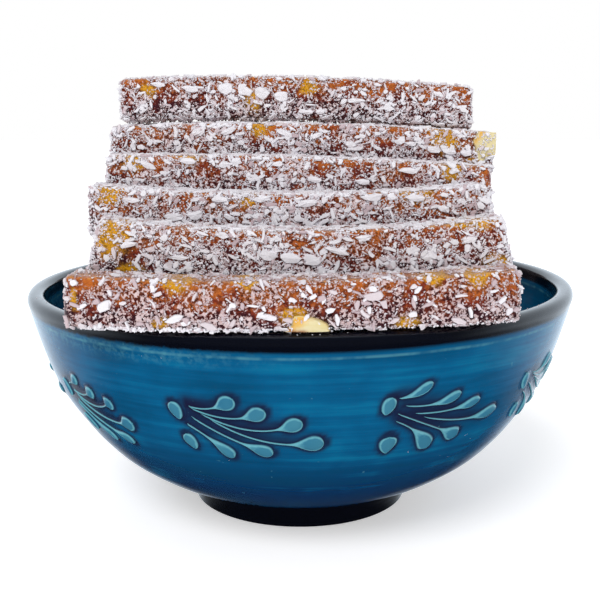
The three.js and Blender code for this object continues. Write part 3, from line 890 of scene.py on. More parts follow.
# ---------------------------------------------------------------- bars
class BarForm:
    """The smooth form of one bar, measured on its solid by rays: curves along the bar for its
    top, underside, front and back, and a slant for each end."""

    def __init__(self, node):
        self.node = node
        self.tree = solid_tree([node])
        low, high = (np.array(corner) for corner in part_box(node))
        self.low, self.high = low, high
        inset = STATION_INSET * MM
        stations = np.linspace(low[0] + inset, high[0] - inset, STATIONS)
        heights = np.linspace(low[2], high[2], STATION_RAYS)
        front = self.across(stations, heights, low[1], 1)
        back = self.across(stations, heights, high[1], -1)
        top, under = [], []
        for x in stations:
            near, far = np.polyval(front, x), np.polyval(back, x)
            ys = near + (far - near) * np.linspace(0.2, 0.8, 7)
            top.append(self.middle_hit([(x, y, high[2] + MM) for y in ys], (0, 0, -1), 2))
            under.append(self.middle_hit([(x, y, low[2] - MM) for y in ys], (0, 0, 1), 2))
        self.top, self.under = self.curve(stations, top), self.curve(stations, under)
        self.front, self.back = front, back
        self.left = self.end(low[0] - MM, 1)
        self.right = self.end(high[0] + MM, -1)
        self.middle = (self.left[1] + self.right[1]) / 2
        self.half = np.array([
            (self.right[1] - self.left[1]) / 2,
            (np.polyval(back, self.middle) - np.polyval(front, self.middle)) / 2,
            (np.polyval(self.top, self.middle) - np.polyval(self.under, self.middle)) / 2,
        ])

    def middle_hit(self, starts, direction, axis):
        """The middle one of the places that rays strike, so that a flake or a hollow doesn't count."""
        hits = [self.tree.ray_cast(start, direction)[0] for start in starts]
        found = [hit[axis] for hit in hits if hit]
        return float(np.median(found)) if found else math.nan

    @staticmethod
    def curve(stations, values):
        """A quadratic through measured values, without those that lie off it."""
        values = np.array(values)
        good = ~np.isnan(values)
        for _ in range(3):
            shape = np.polyfit(stations[good], values[good], 2)
            off = np.abs(values - np.polyval(shape, stations))
            good = off < max(0.25 * MM, 2.5 * float(np.nanmedian(off)))
        return shape

    def across(self, stations, heights, start, step):
        """The curve of the front or the back, where rays from beyond it strike."""
        found = []
        for x in stations:
            found.append(self.middle_hit([(x, start - step * MM, z) for z in heights], (0, step, 0), 1))
        return self.curve(stations, found)

    def end(self, start, step):
        """An end's slant: how x grows from the underside to the top, and x half way up."""
        near = start + step * END_REACH * MM
        y = (np.polyval(self.front, near) + np.polyval(self.back, near)) / 2
        z = (np.polyval(self.top, near) + np.polyval(self.under, near)) / 2
        tall = (np.polyval(self.top, near) - np.polyval(self.under, near)) / 2
        shares = np.linspace(-0.6, 0.6, 5)
        xs = [self.middle_hit([(start, y, z + share * tall)], (step, 0, 0), 0) for share in shares]
        return np.polyfit(shares, xs, 1)

    def rounded(self, boxed):
        """Points on the bar's box, with sides at -1 and 1, moved on to rounded edges; and normals."""
        spots = boxed * self.half
        core = np.clip(spots, -(self.half - BAR_ROUNDING * MM), self.half - BAR_ROUNDING * MM)
        normals = unit(spots - core)
        return (core + normals * BAR_ROUNDING * MM) / self.half, normals

    def place(self, boxed, normals):
        """Points given in the bar's box, and their normals, on the bent bar."""
        u, v, w = boxed.T
        x = self.middle + u * self.half[0]
        ends = np.where(u < 0, self.left[0], self.right[0]) * w * np.abs(u) ** 8
        front, back = np.polyval(self.front, x), np.polyval(self.back, x)
        top, under = np.polyval(self.top, x), np.polyval(self.under, x)
        points = np.column_stack([
            x + ends, (front + back) / 2 + v * (back - front) / 2,
            (top + under) / 2 + w * (top - under) / 2,
        ])
        sideways = (np.polyval(np.polyder(self.front), x) + np.polyval(np.polyder(self.back), x)) / 2
        upward = (np.polyval(np.polyder(self.top), x) + np.polyval(np.polyder(self.under), x)) / 2
        turned = normals.copy()
        turned[:, 0] -= sideways * normals[:, 1] + upward * normals[:, 2]
        return points, unit(turned)


def lattice(counts):
    """A box's surface as a lattice with counts cells each way: integer points and quads."""
    size = np.array(counts) + 1
    faces = []
    for axis in range(3):
        one, two = (axis + 1) % 3, (axis + 2) % 3
        i, j = np.meshgrid(np.arange(counts[one]), np.arange(counts[two]), indexing="ij")
        for side in (0, counts[axis]):
            corners = []
            for a, b in ((0, 0), (1, 0), (1, 1), (0, 1)):
                spot = np.zeros((*i.shape, 3), int)
                spot[..., axis], spot[..., one], spot[..., two] = side, i + a, j + b
                corners.append(spot)
            ordered = corners if side else corners[::-1]
            faces.append(np.stack(ordered, 2).reshape(-1, 4, 3))
    cells = np.vstack(faces)
    keys = (cells[..., 0] * size[1] + cells[..., 1]) * size[2] + cells[..., 2]
    found, where = np.unique(keys, return_inverse=True)
    layer = size[1] * size[2]
    points = np.column_stack([found // layer, found // size[2] % size[1], found % size[2]])
    return points, where.reshape(-1, 4)


def eased(steps, count, ease):
    """Lattice steps as -1 to 1, closer together near both ends."""
    share = steps / count * 2 - 1
    return share * (1 - ease) + ease * np.sin(share * math.pi / 2)


def glow_at(node, form, points):
    """How strongly kernels under the jelly glow at each point of a bar."""
    glow = np.zeros(len(points))
    centre_z = (np.polyval(form.top, form.middle) + np.polyval(form.under, form.middle)) / 2
    for bar, along, up, half_length, half_height in GLOWS:
        if bar != node:
            continue
        x = form.middle + along * MM
        bend = (np.polyval(form.top, x) + np.polyval(form.under, x)) / 2 - centre_z
        z = centre_z + bend + up * MM
        far = ((points[:, 0] - x) / half_length) ** 2 + ((points[:, 2] - z) / half_height) ** 2
        glow = np.maximum(glow, np.exp(-far / MM ** 2 * 0.8))
    return glow


def bare_at(node, points, rounded, glow):
    """How bare of coconut each point of a bar is: in patches, more of them high on its sides and
    along its top edges, and over the kernels that glow."""
    patches = rough(points, 170, 0.6, 420)
    aside, height = np.abs(rounded[:, 1]), rounded[:, 2]
    edge = np.clip((height - 0.9) / 0.1, 0, 1) * np.clip((aside - 0.6) / 0.25, 0, 1)
    lean = 0.26 * height * np.where(aside > 0.9, 1, 0.4) + 0.55 * edge + BARENESS.get(node, 0)
    return np.clip(np.maximum((patches + lean - 0.36) / 0.3, glow * 0.8), 0, 1)


def kernel_places():
    """The middle and radii of each kernel, in metres, from its solid's box."""
    places = {}
    for node, radii in KERNEL_RADII.items():
        low, high = (np.array(corner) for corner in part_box(node))
        size = np.array(radii) * MM
        if node == "hazelnut_end":
            centre = np.array([low[0] + size[0], high[1] - size[1], low[2] + size[2]])
        else:
            centre = np.array([(low[0] + high[0]) / 2, high[1] - size[1], high[2] - size[2]])
        places[node] = (centre, size)
    return places


def build_bar(form, material, shows):
    """A bar's body: uneven cut faces, sunk a little round a kernel that shows."""
    counts = HIDDEN_CELLS
    if shows:
        counts = [round(2 * half / (FRONT_CELL * MM)) for half in form.half]
    steps, faces = lattice(counts)
    boxed = np.column_stack([eased(steps[:, axis], counts[axis], 0.2) for axis in range(3)])
    if not shows:
        boxed[:, 0] = eased(steps[:, 0], counts[0], 0.8)
    rounded, normals = form.rounded(boxed)
    points, normals = form.place(rounded, normals)
    shift = rough(points, 130, 0.5, 380)
    points = points + normals * (shift * CUT_ROUGHNESS * MM - FACE_SINK * MM)[:, None]
    for node, (centre, size) in kernel_places().items():
        if KERNEL_BAR[node] == form.node:
            near = np.linalg.norm((points - centre) / size, axis=1)
            sunk = np.clip((SOCKET - near) / 0.14, 0, 1)
            points = points - normals * (sunk * SOCKET_DEPTH * MM)[:, None]
    glow = glow_at(form.node, form, points)
    dryness = DRYNESS.get(form.node, (1, 1))[0]
    kept = {
        "height": rounded[:, 2], "glow": glow, "dry": np.full(len(points), dryness),
        "bare": bare_at(form.node, points, rounded, glow),
    }
    return add_mesh(f"jelly_{form.node}", points, faces, material, kept)


# ---------------------------------------------------------------- kernels
def kernel_form(node, centre):
    """A kernel's uneven round form in rings from its front, as shares of its radii."""
    turns = np.linspace(0, 2 * math.pi, KERNEL_AROUND, endpoint=False)
    falls = np.linspace(0.06, math.pi - 0.06, KERNEL_RINGS)
    shape = np.column_stack([
        np.outer(np.sin(falls), np.cos(turns)).ravel(), -np.repeat(np.cos(falls), KERNEL_AROUND),
        np.outer(np.sin(falls), np.sin(turns)).ravel(),
    ])
    own = centre[0] * 99 + 0.4
    wobble = np.array([
        1 + 0.4 * noise.noise(Vector((1.3 * math.cos(turn), 1.3 * math.sin(turn), own)))
        for turn in turns
    ])
    shape[:, (0, 2)] *= np.tile(wobble, KERNEL_RINGS)[:, None]
    if node == "hazelnut_front":
        shape[:, 2] *= np.where(shape[:, 2] > 0, 0.74 - 0.3 * shape[:, 0], 1)
    return shape


def crevice(shape):
    """How deep each point lies in the crevice low at the left of the front kernel."""
    fold = shape[:, 2] + 0.14 + 0.3 * shape[:, 0] + 0.08 * np.sin(7 * shape[:, 0])
    depth = np.exp(-(fold / 0.12) ** 2) * np.clip(0.1 - shape[:, 0], 0, 0.5) * 2.4
    return np.clip(depth, 0, 1)


def build_kernel(node, form, material):
    """A kernel that shows in a cut face: its round back in the bar, its face cut a little proud,
    and gold towards its upper left corner."""
    centre, size = kernel_places()[node]
    shape = kernel_form(node, centre)
    points = centre + shape * size
    front = np.polyval(form.front, points[:, 0]) - 0.25 * MM
    reach = np.linalg.norm(shape[:, (0, 2)], axis=1)
    cut = points[:, 1] < front
    margin = np.clip((reach - 0.62) / 0.22, 0, 1)
    points[:, 1] = np.maximum(points[:, 1], front + 0.35 * MM * margin)
    top = np.polyval(form.top, points[:, 0]) + 0.15 * MM
    under = np.polyval(form.under, points[:, 0]) - 0.05 * MM
    points[:, 2] = np.clip(points[:, 2], under, top)
    points[:, 0] = np.clip(points[:, 0], form.left[1], form.right[1] + 0.3 * MM)
    points[:, 1] += rough(points, 240, 0.4, 700) * KERNEL_WAVE * MM
    corner = np.clip((shape[:, 2] - shape[:, 0]) * 1.1 - 0.35, 0, 1)
    kept = {
        "margin": np.where(cut, np.maximum(margin * 0.2, corner), 0.35),
        "crease": crevice(shape) if node == "hazelnut_front" else np.zeros(len(points)),
    }
    faces = ring_faces(KERNEL_RINGS, KERNEL_AROUND, closed_ends=True)
    return add_mesh(f"kernel_{node}", points, [face[::-1] for face in faces], material, kept)


# ---------------------------------------------------------------- coconut
def grain_shape(draw, count):
    """Crumbs of coconut: short grains with two tips and a three-sided waist."""
    length = draw.uniform(*GRAIN_LENGTH, count)[:, None] / 2
    width = draw.uniform(*GRAIN_WIDTH, count)[:, None] / 2
    x = length * np.array([-1, 0, 0, 0, 1]) + length * draw.uniform(-0.35, 0.35, (count, 5))
    y = width * np.array([0, -1, 0.1, 1, 0]) * draw.uniform(0.7, 1.2, (count, 5))
    z = width * np.array([0.1, -0.3, 1.1, -0.3, 0.1]) * draw.uniform(0.7, 1.2, (count, 5))
    faces = [(0, 2, 1), (0, 3, 2), (0, 1, 3), (4, 1, 2), (4, 2, 3), (4, 3, 1)]
    return np.stack([x, y, z], -1), faces


def sliver_shape(draw, count):
    """Slivers: straight three-sided splinters of one length."""
    along = np.repeat([-1.0, 1.0], 3)
    across = np.tile([-1.0, 1.0, 0.1], 2)
    upright = np.tile([-0.3, -0.3, 1.0], 2)
    length = draw.uniform(*SLIVER_LENGTH, count)[:, None] / 2
    width = draw.uniform(*SLIVER_WIDTH, count)[:, None] / 2
    taper = np.repeat(draw.uniform(0.3, 1.1, (count, 2)), 3, axis=1)
    x = along * length * draw.uniform(0.8, 1.1, (count, 6))
    y = across * taper * width + draw.normal(0, 0.06, (count, 1)) * along * length
    z = upright * taper * draw.uniform(0.22, 0.42, (count, 1))
    faces = [(0, 2, 1), (3, 4, 5), (0, 1, 4, 3), (1, 2, 5, 4), (2, 0, 3, 5)]
    return np.stack([x, y, z], -1), faces


def shred_shape(draw, count):
    """Shreds: flat strips with four sides and blunt ends, a little swept and curled."""
    along = np.repeat([-1.0, 0.0, 1.0], 4)
    across = np.tile([-1.0, 1.0, 0.75, -0.75], 3)
    upright = np.tile([0.0, 0.0, 1.0, 1.0], 3)
    length = draw.uniform(*SHRED_LENGTH, count)[:, None] / 2
    width = draw.uniform(*SHRED_WIDTH, count)[:, None] / 2
    taper = np.repeat(np.stack([
        draw.uniform(0.3, 0.95, count), draw.uniform(0.85, 1.15, count), draw.uniform(0.3, 0.95, count),
    ], 1), 4, axis=1)
    x = along * length * draw.uniform(0.86, 1.08, (count, 12))
    y = across * taper * width + draw.normal(0, 0.1, (count, 1)) * length * along ** 2
    thick = draw.uniform(0.3, 0.55, (count, 1))
    z = upright * thick + draw.uniform(-0.05, 0.12, (count, 1)) * length * along ** 2
    faces = [(0, 3, 2, 1), (8, 9, 10, 11)]
    for start in (0, 4):
        for side in range(4):
            a, b = start + side, start + (side + 1) % 4
            faces.append((a, b, b + 4, a + 4))
    return np.stack([x, y, z], -1), faces


def chip_shape(draw, count):
    """Chips: thin curled plates with six uneven corners."""
    turns = np.linspace(0, 2 * math.pi, 6, endpoint=False)
    length = draw.uniform(*CHIP_SIZE, count)
    width = length * draw.uniform(0.38, 0.8, count)
    turns = turns + draw.uniform(-0.3, 0.3, (count, 6))
    reach = draw.uniform(0.66, 1.16, (count, 6))
    x = np.cos(turns) * reach * length[:, None] / 2
    y = np.sin(turns) * reach * width[:, None] / 2
    curl = draw.uniform(-0.05, 0.16, count)[:, None] * x ** 2 / (length[:, None] / 2)
    thick = draw.uniform(0.3, 0.5, count)[:, None]
    top = np.stack([x * 0.9, y * 0.9, curl + thick], -1)
    under = np.stack([x, y, curl - 0.1], -1)
    middle = np.stack([np.zeros(count), np.zeros(count), thick[:, 0] * 1.15], -1)
    return plate(top, under, middle)


def plate(top, under, middle):
    """A closed plate from its two outlines and the middle of its top."""
    corners = top.shape[1]
    spots = np.concatenate([top, under, middle[:, None]], 1)
    faces = [tuple(range(2 * corners - 1, corners - 1, -1))]
    for a in range(corners):
        b = (a + 1) % corners
        faces.append((a, b, 2 * corners))
        faces.append((corners + a, corners + b, b, a))
    return spots, faces


def laid(spots, places, normals, ahead, tilt):
    """Shapes given about their own middles, laid at places with their tops along the normals."""
    ahead = unit(ahead - normals * np.sum(ahead * normals, 1, keepdims=True))
    side = np.cross(normals, ahead)
    along = ahead * np.cos(tilt)[:, None] + normals * np.sin(tilt)[:, None]
    up = normals * np.cos(tilt)[:, None] - ahead * np.sin(tilt)[:, None]
    axes = np.stack([along, side, up], 1)
    return places[:, None] + np.einsum("nkc,ncd->nkd", spots * MM, axes)


class Coconut:
    """Coconut pieces gathered for one mesh."""

    def __init__(self):
        self.points, self.faces, self.tones = [], [], []
        self.total = 0

    def add(self, laid_points, faces, tones):
        count, corners = laid_points.shape[:2]
        starts = self.total + np.arange(count) * corners
        for face in faces:
            self.faces.extend((starts[:, None] + np.array(face)).tolist())
        self.points.append(laid_points.reshape(-1, 3))
        self.tones.append(np.repeat(tones, corners))
        self.total += count * corners

    def build(self, name, material):
        points, tones = np.vstack(self.points), np.concatenate(self.tones)
        return add_mesh(name, points, self.faces, material, {"tone": tones}, smooth=False)


class OpenAir:
    """Which places on a bar lie open: nothing close in front, and a free way out of the heap."""

    def __init__(self, node):
        self.tree = solid_tree([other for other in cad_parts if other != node])

    def open(self, point, normal):
        """Whether this place lies open."""
        start = Vector(point + normal * 0.05 * MM)
        if self.tree.ray_cast(start, Vector(normal), NEIGHBOUR_REACH * MM)[0]:
            return False
        for lean in WAYS_OUT:
            way = Vector(normal + lean)
            if way.length > 0.1 and not self.tree.ray_cast(start, way.normalized())[0]:
                return True
        return False


def open_spots(form, air, draw, density, flakes):
    """Random places on a bar's open faces, density to a square millimetre, with their normals.
    They lie clear of the kernels and the large flakes."""
    half = form.half / MM
    areas = 8 * np.array([half[1] * half[2], half[0] * half[2], half[0] * half[1]])
    count = int(density * areas.sum())
    axis = draw.choice(3, count, p=areas / areas.sum())
    boxed = draw.uniform(-1, 1, (count, 3))
    boxed[np.arange(count), axis] = np.where(draw.uniform(size=count) < 0.5, -1, 1)
    rounded, normals = form.rounded(boxed)
    points, normals = form.place(rounded, normals)
    clumps = np.array([
        0.75 * noise.noise(Vector(point) * 260) + 0.3 * noise.noise(Vector(point) * 55)
        for point in points
    ])
    bare = bare_at(form.node, points, rounded, glow_at(form.node, form, points))
    keep = draw.uniform(-0.55, 0.35, count) < clumps - 0.32 * bare
    for node, (centre, size) in kernel_places().items():
        if KERNEL_BAR[node] == form.node:
            keep &= np.linalg.norm((points - centre) / size, axis=1) > draw.uniform(0.75, 1.0, count)
    for members in flakes:
        reach = np.maximum(np.ptp(members, axis=0) / 2 + 0.1 * MM, FLAKE_CLEARANCE * MM)
        keep &= np.linalg.norm((points - members.mean(0)) / reach, axis=1) > 0.7
    for index in np.nonzero(keep)[0]:
        keep[index] = air.open(points[index], normals[index])
    return points[keep], normals[keep]


def solid_flakes(form):
    """The flakes that stand on a bar's solid, each as its corners, in metres."""
    corners, triangles = solid_arrays(form.node)
    keys = np.round(corners * 1e6).astype(int)
    _, first, where = np.unique(keys, axis=0, return_index=True, return_inverse=True)
    corners, triangles = corners[first], where.reshape(-1)[triangles]
    x = corners[:, 0]
    over = corners[:, 2] - np.polyval(form.top, x)
    proud = np.maximum(np.polyval(form.front, x) - corners[:, 1], over)
    if form.node == "bar_rear_rim":
        proud = np.maximum(proud, corners[:, 1] - np.polyval(form.back, x))
    raised = proud > FLAKE_PROUD * MM
    group = np.arange(len(corners))
    tops = triangles[np.all(raised[triangles], axis=1)]
    for _ in range(12):
        for face in tops:
            group[face] = group[face].min()
    for label in np.unique(group[tops]):
        members = corners[(group == label) & raised]
        if len(members) >= 4:
            yield members


def flake_shape(draw, length, width):
    """A large flake: a curled plate with torn corners and an uneven top."""
    turns = np.linspace(0, 2 * math.pi, FLAKE_CORNERS, endpoint=False)
    turns = turns + draw.uniform(-0.24, 0.24, FLAKE_CORNERS)
    reach = draw.uniform(0.66, 1.04, FLAKE_CORNERS)
    x = np.cos(turns) * reach * length / 2
    y = np.sin(turns) * reach * width / 2
    curl = draw.uniform(0.02, 0.1) * x ** 2 / (length / 2)
    thick = FLAKE_THICKNESS * draw.uniform(0.55, 1.15, FLAKE_CORNERS)
    top = np.stack([x * 0.92, y * 0.84, curl + thick], -1)
    under = np.stack([x, y, curl - 0.25], -1)
    return plate(top[None], under[None], np.array([[0, 0, FLAKE_THICKNESS * 1.05]]))


def lay_flakes(coconut, form, draw, flakes):
    """The large flakes: finer curled plates where the solid's flakes stand. Flakes that touch on
    the solid are parted."""
    for members in flakes:
        middle = members.mean(0)
        x = middle[0]
        over = middle[2] - np.polyval(form.top, x)
        before = np.polyval(form.front, x) - middle[1]
        behind = middle[1] - np.polyval(form.back, x)
        if over > max(before, behind):
            normal = np.array([0, 0, 1.0])
        else:
            normal = np.array([0, -1.0 if before > behind else 1.0, 0])
        spread = members - middle
        spread -= np.outer(spread @ normal, normal)
        ahead = np.linalg.svd(spread)[2][0]
        side = np.cross(normal, ahead)
        length = np.ptp(spread @ ahead) / MM * 0.94
        width = np.ptp(spread @ side) / MM + 0.3
        parts = math.ceil(length / LONGEST_FLAKE)
        dryness = DRYNESS.get(form.node, (1, 1))[1]
        for part in range(parts):
            spots, faces = flake_shape(draw, length / parts, width)
            shift = ahead * (part - (parts - 1) / 2) * length / parts * MM
            seat = middle + shift - normal * (max(over, before, behind) - 0.05 * MM)
            points = laid(spots, seat[None], normal[None], ahead[None], np.zeros(1))
            coconut.add(points, faces, draw.uniform(0.42, 0.85, 1) * dryness)


def coat_bar(coconut, form, air, draw, settings, amount, flakes=()):
    """Grains, slivers, shreds and chips over a bar's open faces."""
    kinds = (
        (grain_shape, settings.grains, 0.16, 0.02), (sliver_shape, settings.slivers, 0.1, 0.05),
        (shred_shape, settings.shreds, 0.08, 0.12), (chip_shape, settings.chips, 0.1, 0.15),
    )
    for shape, density, tilt, lift in kinds:
        places, normals = open_spots(form, air, draw, density * amount, flakes)
        if not len(places):
            continue
        spots, faces = shape(draw, len(places))
        heading = draw.normal(size=(len(places), 3)) * (1.2, 1, 1)
        tilts = draw.normal(0, tilt, len(places))
        seats = places + normals * draw.uniform(0, lift, len(places))[:, None] * MM
        dryness = DRYNESS.get(form.node, (1, 1))[shape is not grain_shape]
        tones = draw.beta(1.6, 1.1, len(places)) * dryness
        coconut.add(laid(spots, seats, normals, heading, tilts), faces, tones)


def dust_kernel(coconut, node, draw, count):
    """Grains, and a few chips among them, over a kernel, where rays from the front meet its solid."""
    tree = solid_tree([node])
    low, high = (np.array(corner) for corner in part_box(node))
    places, normals = [], []
    for start in draw.uniform(low, high, (count, 3)):
        place, normal, *_ = tree.ray_cast(Vector((start[0], low[1] - MM, start[2])), Vector((0, 1, 0)))
        if place:
            places.append(place)
            normals.append(normal)
    places, normals = np.array(places), np.array(normals)
    few = len(places) // 9
    for shape, part in ((chip_shape, slice(0, few)), (grain_shape, slice(few, None))):
        number = len(places[part])
        spots, faces = shape(draw, number)
        heading = draw.normal(size=(number, 3))
        seats = places[part] + normals[part] * 0.2 * MM
        dust = laid(spots, seats, normals[part], heading, draw.normal(0, 0.1, number))
        coconut.add(dust, faces, draw.beta(2.5, 1.1, number))


def add_edge(coconut, form, draw, count, reach, corner, size, drop):
    """Coconut that gathered along an edge of a bar: between two shares of its length, at a corner
    of its section, in sizes against a chip's and within a drop in millimetres."""
    share = draw.uniform(*reach, count)
    boxed = np.column_stack([share, np.full(count, corner[0]), np.full(count, corner[1])])
    rounded, normals = form.rounded(boxed)
    places, normals = form.place(rounded, normals)
    spots, faces = chip_shape(draw, count)
    spots = spots * draw.uniform(*size, (count, 1, 1)) * (1, 1, 1.6)
    heading = draw.normal(size=(count, 3)) * (1.0, 0.2, 0.35)
    normals = unit(normals + (0, -0.6, 0.2))
    moved = places + np.column_stack([
        np.zeros(count), draw.uniform(-0.3, 0.3, count) * MM, draw.uniform(*drop, count) * MM,
    ])
    laid_chips = laid(spots, moved, normals, heading, draw.normal(0, 0.3, count))
    coconut.add(laid_chips, faces, draw.beta(3, 1.2, count))


def add_fill(coconut, form, draw, count):
    """Crumbs caught in the narrow gap under a bar, so that no light shows through it."""
    boxed = np.column_stack([
        draw.uniform(-0.97, 0.97, count), draw.uniform(-0.8, -0.1, count), np.full(count, -1.0),
    ])
    rounded, normals = form.rounded(boxed)
    places, normals = form.place(rounded, normals)
    spots, faces = grain_shape(draw, count)
    spots = spots * draw.uniform(1.6, 2.6, (count, 1, 1)) * (1, 1, 1.6)
    crumbs = laid(spots, places, normals, draw.normal(size=(count, 3)), np.zeros(count))
    coconut.add(crumbs, faces, draw.beta(1.2, 2, count))


def add_crumbs(coconut, draw, count):
    """Coconut dust that fell on the rim and stuck to the wall under the front bar."""
    angle = np.radians(draw.normal(-90, 42, count))
    radius = np.where(draw.uniform(size=count) < 0.5, draw.uniform(85.8, 88.8, count), 0)
    height = np.where(radius > 0, BOWL_HEIGHT, draw.uniform(30, 68, count))
    wall = radius == 0
    radius = np.where(wall, np.interp(height, WALL_LINE[:, 1], WALL_LINE[:, 0]), radius)
    points = np.column_stack([radius * np.cos(angle), radius * np.sin(angle), height])
    outward = np.column_stack([np.cos(angle), np.sin(angle), np.zeros(count)])
    normals = np.where(wall[:, None], unit(outward - (0, 0, 0.4)), np.array([[0, 0, 1.0]]))
    spots, faces = grain_shape(draw, count)
    spots = spots * np.where(wall, 0.35, 0.7)[:, None, None]
    heading = draw.normal(size=(count, 3))
    crumbs = laid(spots, lifted(points) * MM, normals, heading, np.zeros(count))
    coconut.add(crumbs, faces, draw.uniform(0.6, 1, count))


def coat_shown_bar(form, air, material, draw, settings):
    """All the coconut of a bar that shows, with what gathered at its edges and on its kernel."""
    coconut = Coconut()
    flakes = list(solid_flakes(form))
    lay_flakes(coconut, form, draw, flakes)
    coat_bar(coconut, form, air, draw, settings, COATING[form.node], flakes)
    if form.node == FRONT_BARS[0]:
        for edge in FRINGE:
            add_edge(coconut, form, draw, *edge)
        add_crumbs(coconut, draw, FALLEN_CRUMBS)
    elif form.node in FRONT_BARS:
        add_fill(coconut, form, draw, FILL_CRUMBS)
    if form.node in FRONT_BARS:
        add_edge(coconut, form, draw, *TOP_EDGE)
    for kernel, bar in KERNEL_BAR.items():
        if bar == form.node:
            dust_kernel(coconut, kernel, draw, KERNEL_DUST[kernel])
    return coconut.build(f"coconut_{form.node}", material)


# ---------------------------------------------------------------- stage
def add_sun(name, strength, turn, height, spread):
    """A wide soft sun: degrees round from the camera, towards +X, and above the floor."""
    data = bpy.data.lights.new(name, "SUN")
    data.energy = strength
    data.angle = math.radians(spread)
    lamp = bpy.data.objects.new(name, data)
    bpy.context.scene.collection.objects.link(lamp)
    lamp.rotation_euler = (math.radians(90 - height), 0, math.radians(turn))
    lamp.visible_glossy = False


def build_sky(strength):
    """White surroundings. What the glaze reflects is bright behind and beside the bowl, and dark
    towards the camera and straight below, as in a studio with white walls."""
    sky = Finish(bpy.data.worlds.new("white_surroundings"))
    direction = sky.node("ShaderNodeTexCoord")
    back = sky.node("ShaderNodeSeparateXYZ", None, {"Vector": direction}, 1)
    up = sky.node("ShaderNodeSeparateXYZ", None, {"Vector": direction}, 2)
    seen = sky.node("ShaderNodeLightPath")
    mirrored = sky.node("ShaderNodeLightPath", output=3)
    walls = 0.03 + up.smooth(-0.62, -0.2) * (0.06 + back.smooth(-0.55, 0.35) * 1.42)
    light = mirrored * walls + (1 - mirrored) * strength
    shade = sky.mix(mirrored, (1, 1, 1), (0.8, 0.9, 1.0))
    light = seen + (1 - seen) * light
    shader = sky.node("ShaderNodeBackground", None, {"Color": shade, "Strength": light})
    sky.node("ShaderNodeOutputWorld", None, {"Surface": shader})
    return sky.owner


def build_floor(material):
    """A wide flat white floor. Reflections pass through it to the surroundings."""
    around = np.linspace(0, 2 * math.pi, FLOOR_CORNERS, endpoint=False)
    rim = [(FLOOR_RADIUS * math.cos(turn), FLOOR_RADIUS * math.sin(turn), 0) for turn in around]
    faces = [(0, 1 + step, 1 + (step + 1) % FLOOR_CORNERS) for step in range(FLOOR_CORNERS)]
    floor = add_mesh("floor", [(0, 0, 0)] + rim, faces, material)
    floor.visible_glossy = False
    return floor


class CEZERYE_OT_stage(bpy.types.Operator):
    """Add the camera, the soft lights, the white surroundings and the floor"""
    bl_idname = "cezerye.stage"
    bl_label = "Stage"

    def execute(self, context):
        scene = context.scene
        stage = scene.cezerye_stage
        data = bpy.data.cameras.new("camera")
        data.lens = stage.lens
        data.sensor_width = 36
        data.clip_start = 0.01
        camera = bpy.data.objects.new("camera", data)
        scene.collection.objects.link(camera)
        camera.location = (0, -stage.distance, stage.height)
        camera.rotation_euler = (math.pi / 2 - stage.look_down, 0, 0)
        scene.camera = camera
        scene.view_settings.view_transform = "Standard"
        scene.world = build_sky(stage.sky)
        build_floor(paper_material())
        add_sun("key_light", stage.key, *KEY_LIGHT)
        add_sun("fill_light", stage.key * FILL_SHARE, *FILL_LIGHT)
        return {"FINISHED"}


class CEZERYE_OT_bowl(bpy.types.Operator):
    """Replace the bowl's solid by the glazed bowl and its slip-trailed sprays"""
    bl_idname = "cezerye.bowl"
    bl_label = "Bowl"

    def execute(self, context):
        glaze = context.scene.cezerye_glaze
        material = glaze_material(glaze)
        finish_piece(build_bowl(material), "bowl_glaze", "bowl")
        finish_piece(build_slip(material), "bowl_glaze")
        return {"FINISHED"}


class CEZERYE_OT_bars(bpy.types.Operator):
    """Replace every bar's solid by its jelly"""
    bl_idname = "cezerye.bars"
    bl_label = "Bars"

    def execute(self, context):
        scene = context.scene
        material = jelly_material(scene.cezerye_jelly, scene.cezerye_coconut)
        for node, form in bar_forms().items():
            piece = build_bar(form, material, shows=node in COATING)
            finish_piece(piece, "coconut_jelly", node)
        return {"FINISHED"}


class CEZERYE_OT_kernels(bpy.types.Operator):
    """Replace the kernels that show in cut faces"""
    bl_idname = "cezerye.kernels"
    bl_label = "Kernels"

    def execute(self, context):
        material = kernel_material(context.scene.cezerye_jelly)
        for node, bar in KERNEL_BAR.items():
            finish_piece(build_kernel(node, bar_forms()[bar], material), "kernel", node)
        return {"FINISHED"}


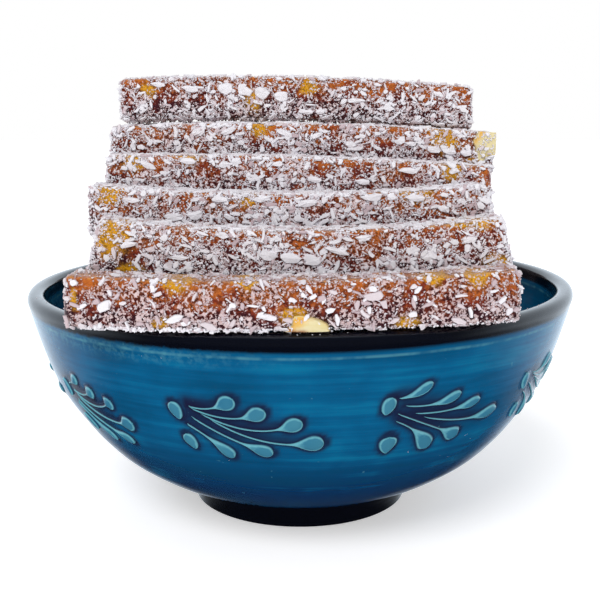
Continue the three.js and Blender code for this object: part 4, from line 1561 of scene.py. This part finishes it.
class CEZERYE_OT_coconut(bpy.types.Operator):
    """Coat every open face with coconut grains, shreds, chips and flakes"""
    bl_idname = "cezerye.coconut"
    bl_label = "Coconut"

    def execute(self, context):
        scene = context.scene
        settings = scene.cezerye_coconut
        material = coconut_material(settings)
        draw = np.random.default_rng(scene.cezerye_stage.detail_seed)
        inner = Coconut()
        for node, form in bar_forms().items():
            air = OpenAir(node)
            if node in COATING:
                piece = coat_shown_bar(form, air, material, draw, settings)
                finish_piece(piece, "coconut_jelly")
            else:
                coat_bar(inner, form, air, draw, settings, INNER_COATING)
        finish_piece(inner.build("coconut_inner_bars", material), "coconut_jelly")
        return {"FINISHED"}


class CEZERYE_PT_panel(bpy.types.Panel):
    """The add-on's panel in the sidebar"""
    bl_idname = "CEZERYE_PT_panel"
    bl_label = "Bowl of cezerye"
    bl_space_type = "VIEW_3D"
    bl_region_type = "UI"
    bl_category = "Cezerye"

    def draw(self, context):
        layout = self.layout
        for group, (operators, _) in GROUPS.items():
            box = layout.box()
            settings = getattr(context.scene, group)
            for name in settings.__annotations__:
                box.prop(settings, name)
            for operator in operators:
                box.operator(operator.bl_idname)


GROUPS = {
    "cezerye_stage": ([CEZERYE_OT_stage], CezeryeStage),
    "cezerye_glaze": ([CEZERYE_OT_bowl], CezeryeGlaze),
    "cezerye_jelly": ([CEZERYE_OT_bars, CEZERYE_OT_kernels], CezeryeJelly),
    "cezerye_coconut": ([CEZERYE_OT_coconut], CezeryeCoconut),
}
FORMS = {}


def bar_forms():
    """The measured form of every bar, measured once."""
    if not FORMS:
        for node in sorted(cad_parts):
            if node.startswith("bar_"):
                FORMS[node] = BarForm(node)
    return FORMS


def register():
    for name, (operators, settings) in GROUPS.items():
        bpy.utils.register_class(settings)
        setattr(bpy.types.Scene, name, PointerProperty(type=settings))
        for operator in operators:
            bpy.utils.register_class(operator)
    bpy.utils.register_class(CEZERYE_PT_panel)


def unregister():
    bpy.utils.unregister_class(CEZERYE_PT_panel)
    for name, (operators, settings) in GROUPS.items():
        for operator in operators:
            bpy.utils.unregister_class(operator)
        delattr(bpy.types.Scene, name)
        bpy.utils.unregister_class(settings)


def main():
    register()
    bpy.ops.cezerye.stage()
    bpy.ops.cezerye.bowl()
    bpy.ops.cezerye.bars()
    bpy.ops.cezerye.kernels()
    bpy.ops.cezerye.coconut()


if __name__ == "__main__":
    main()
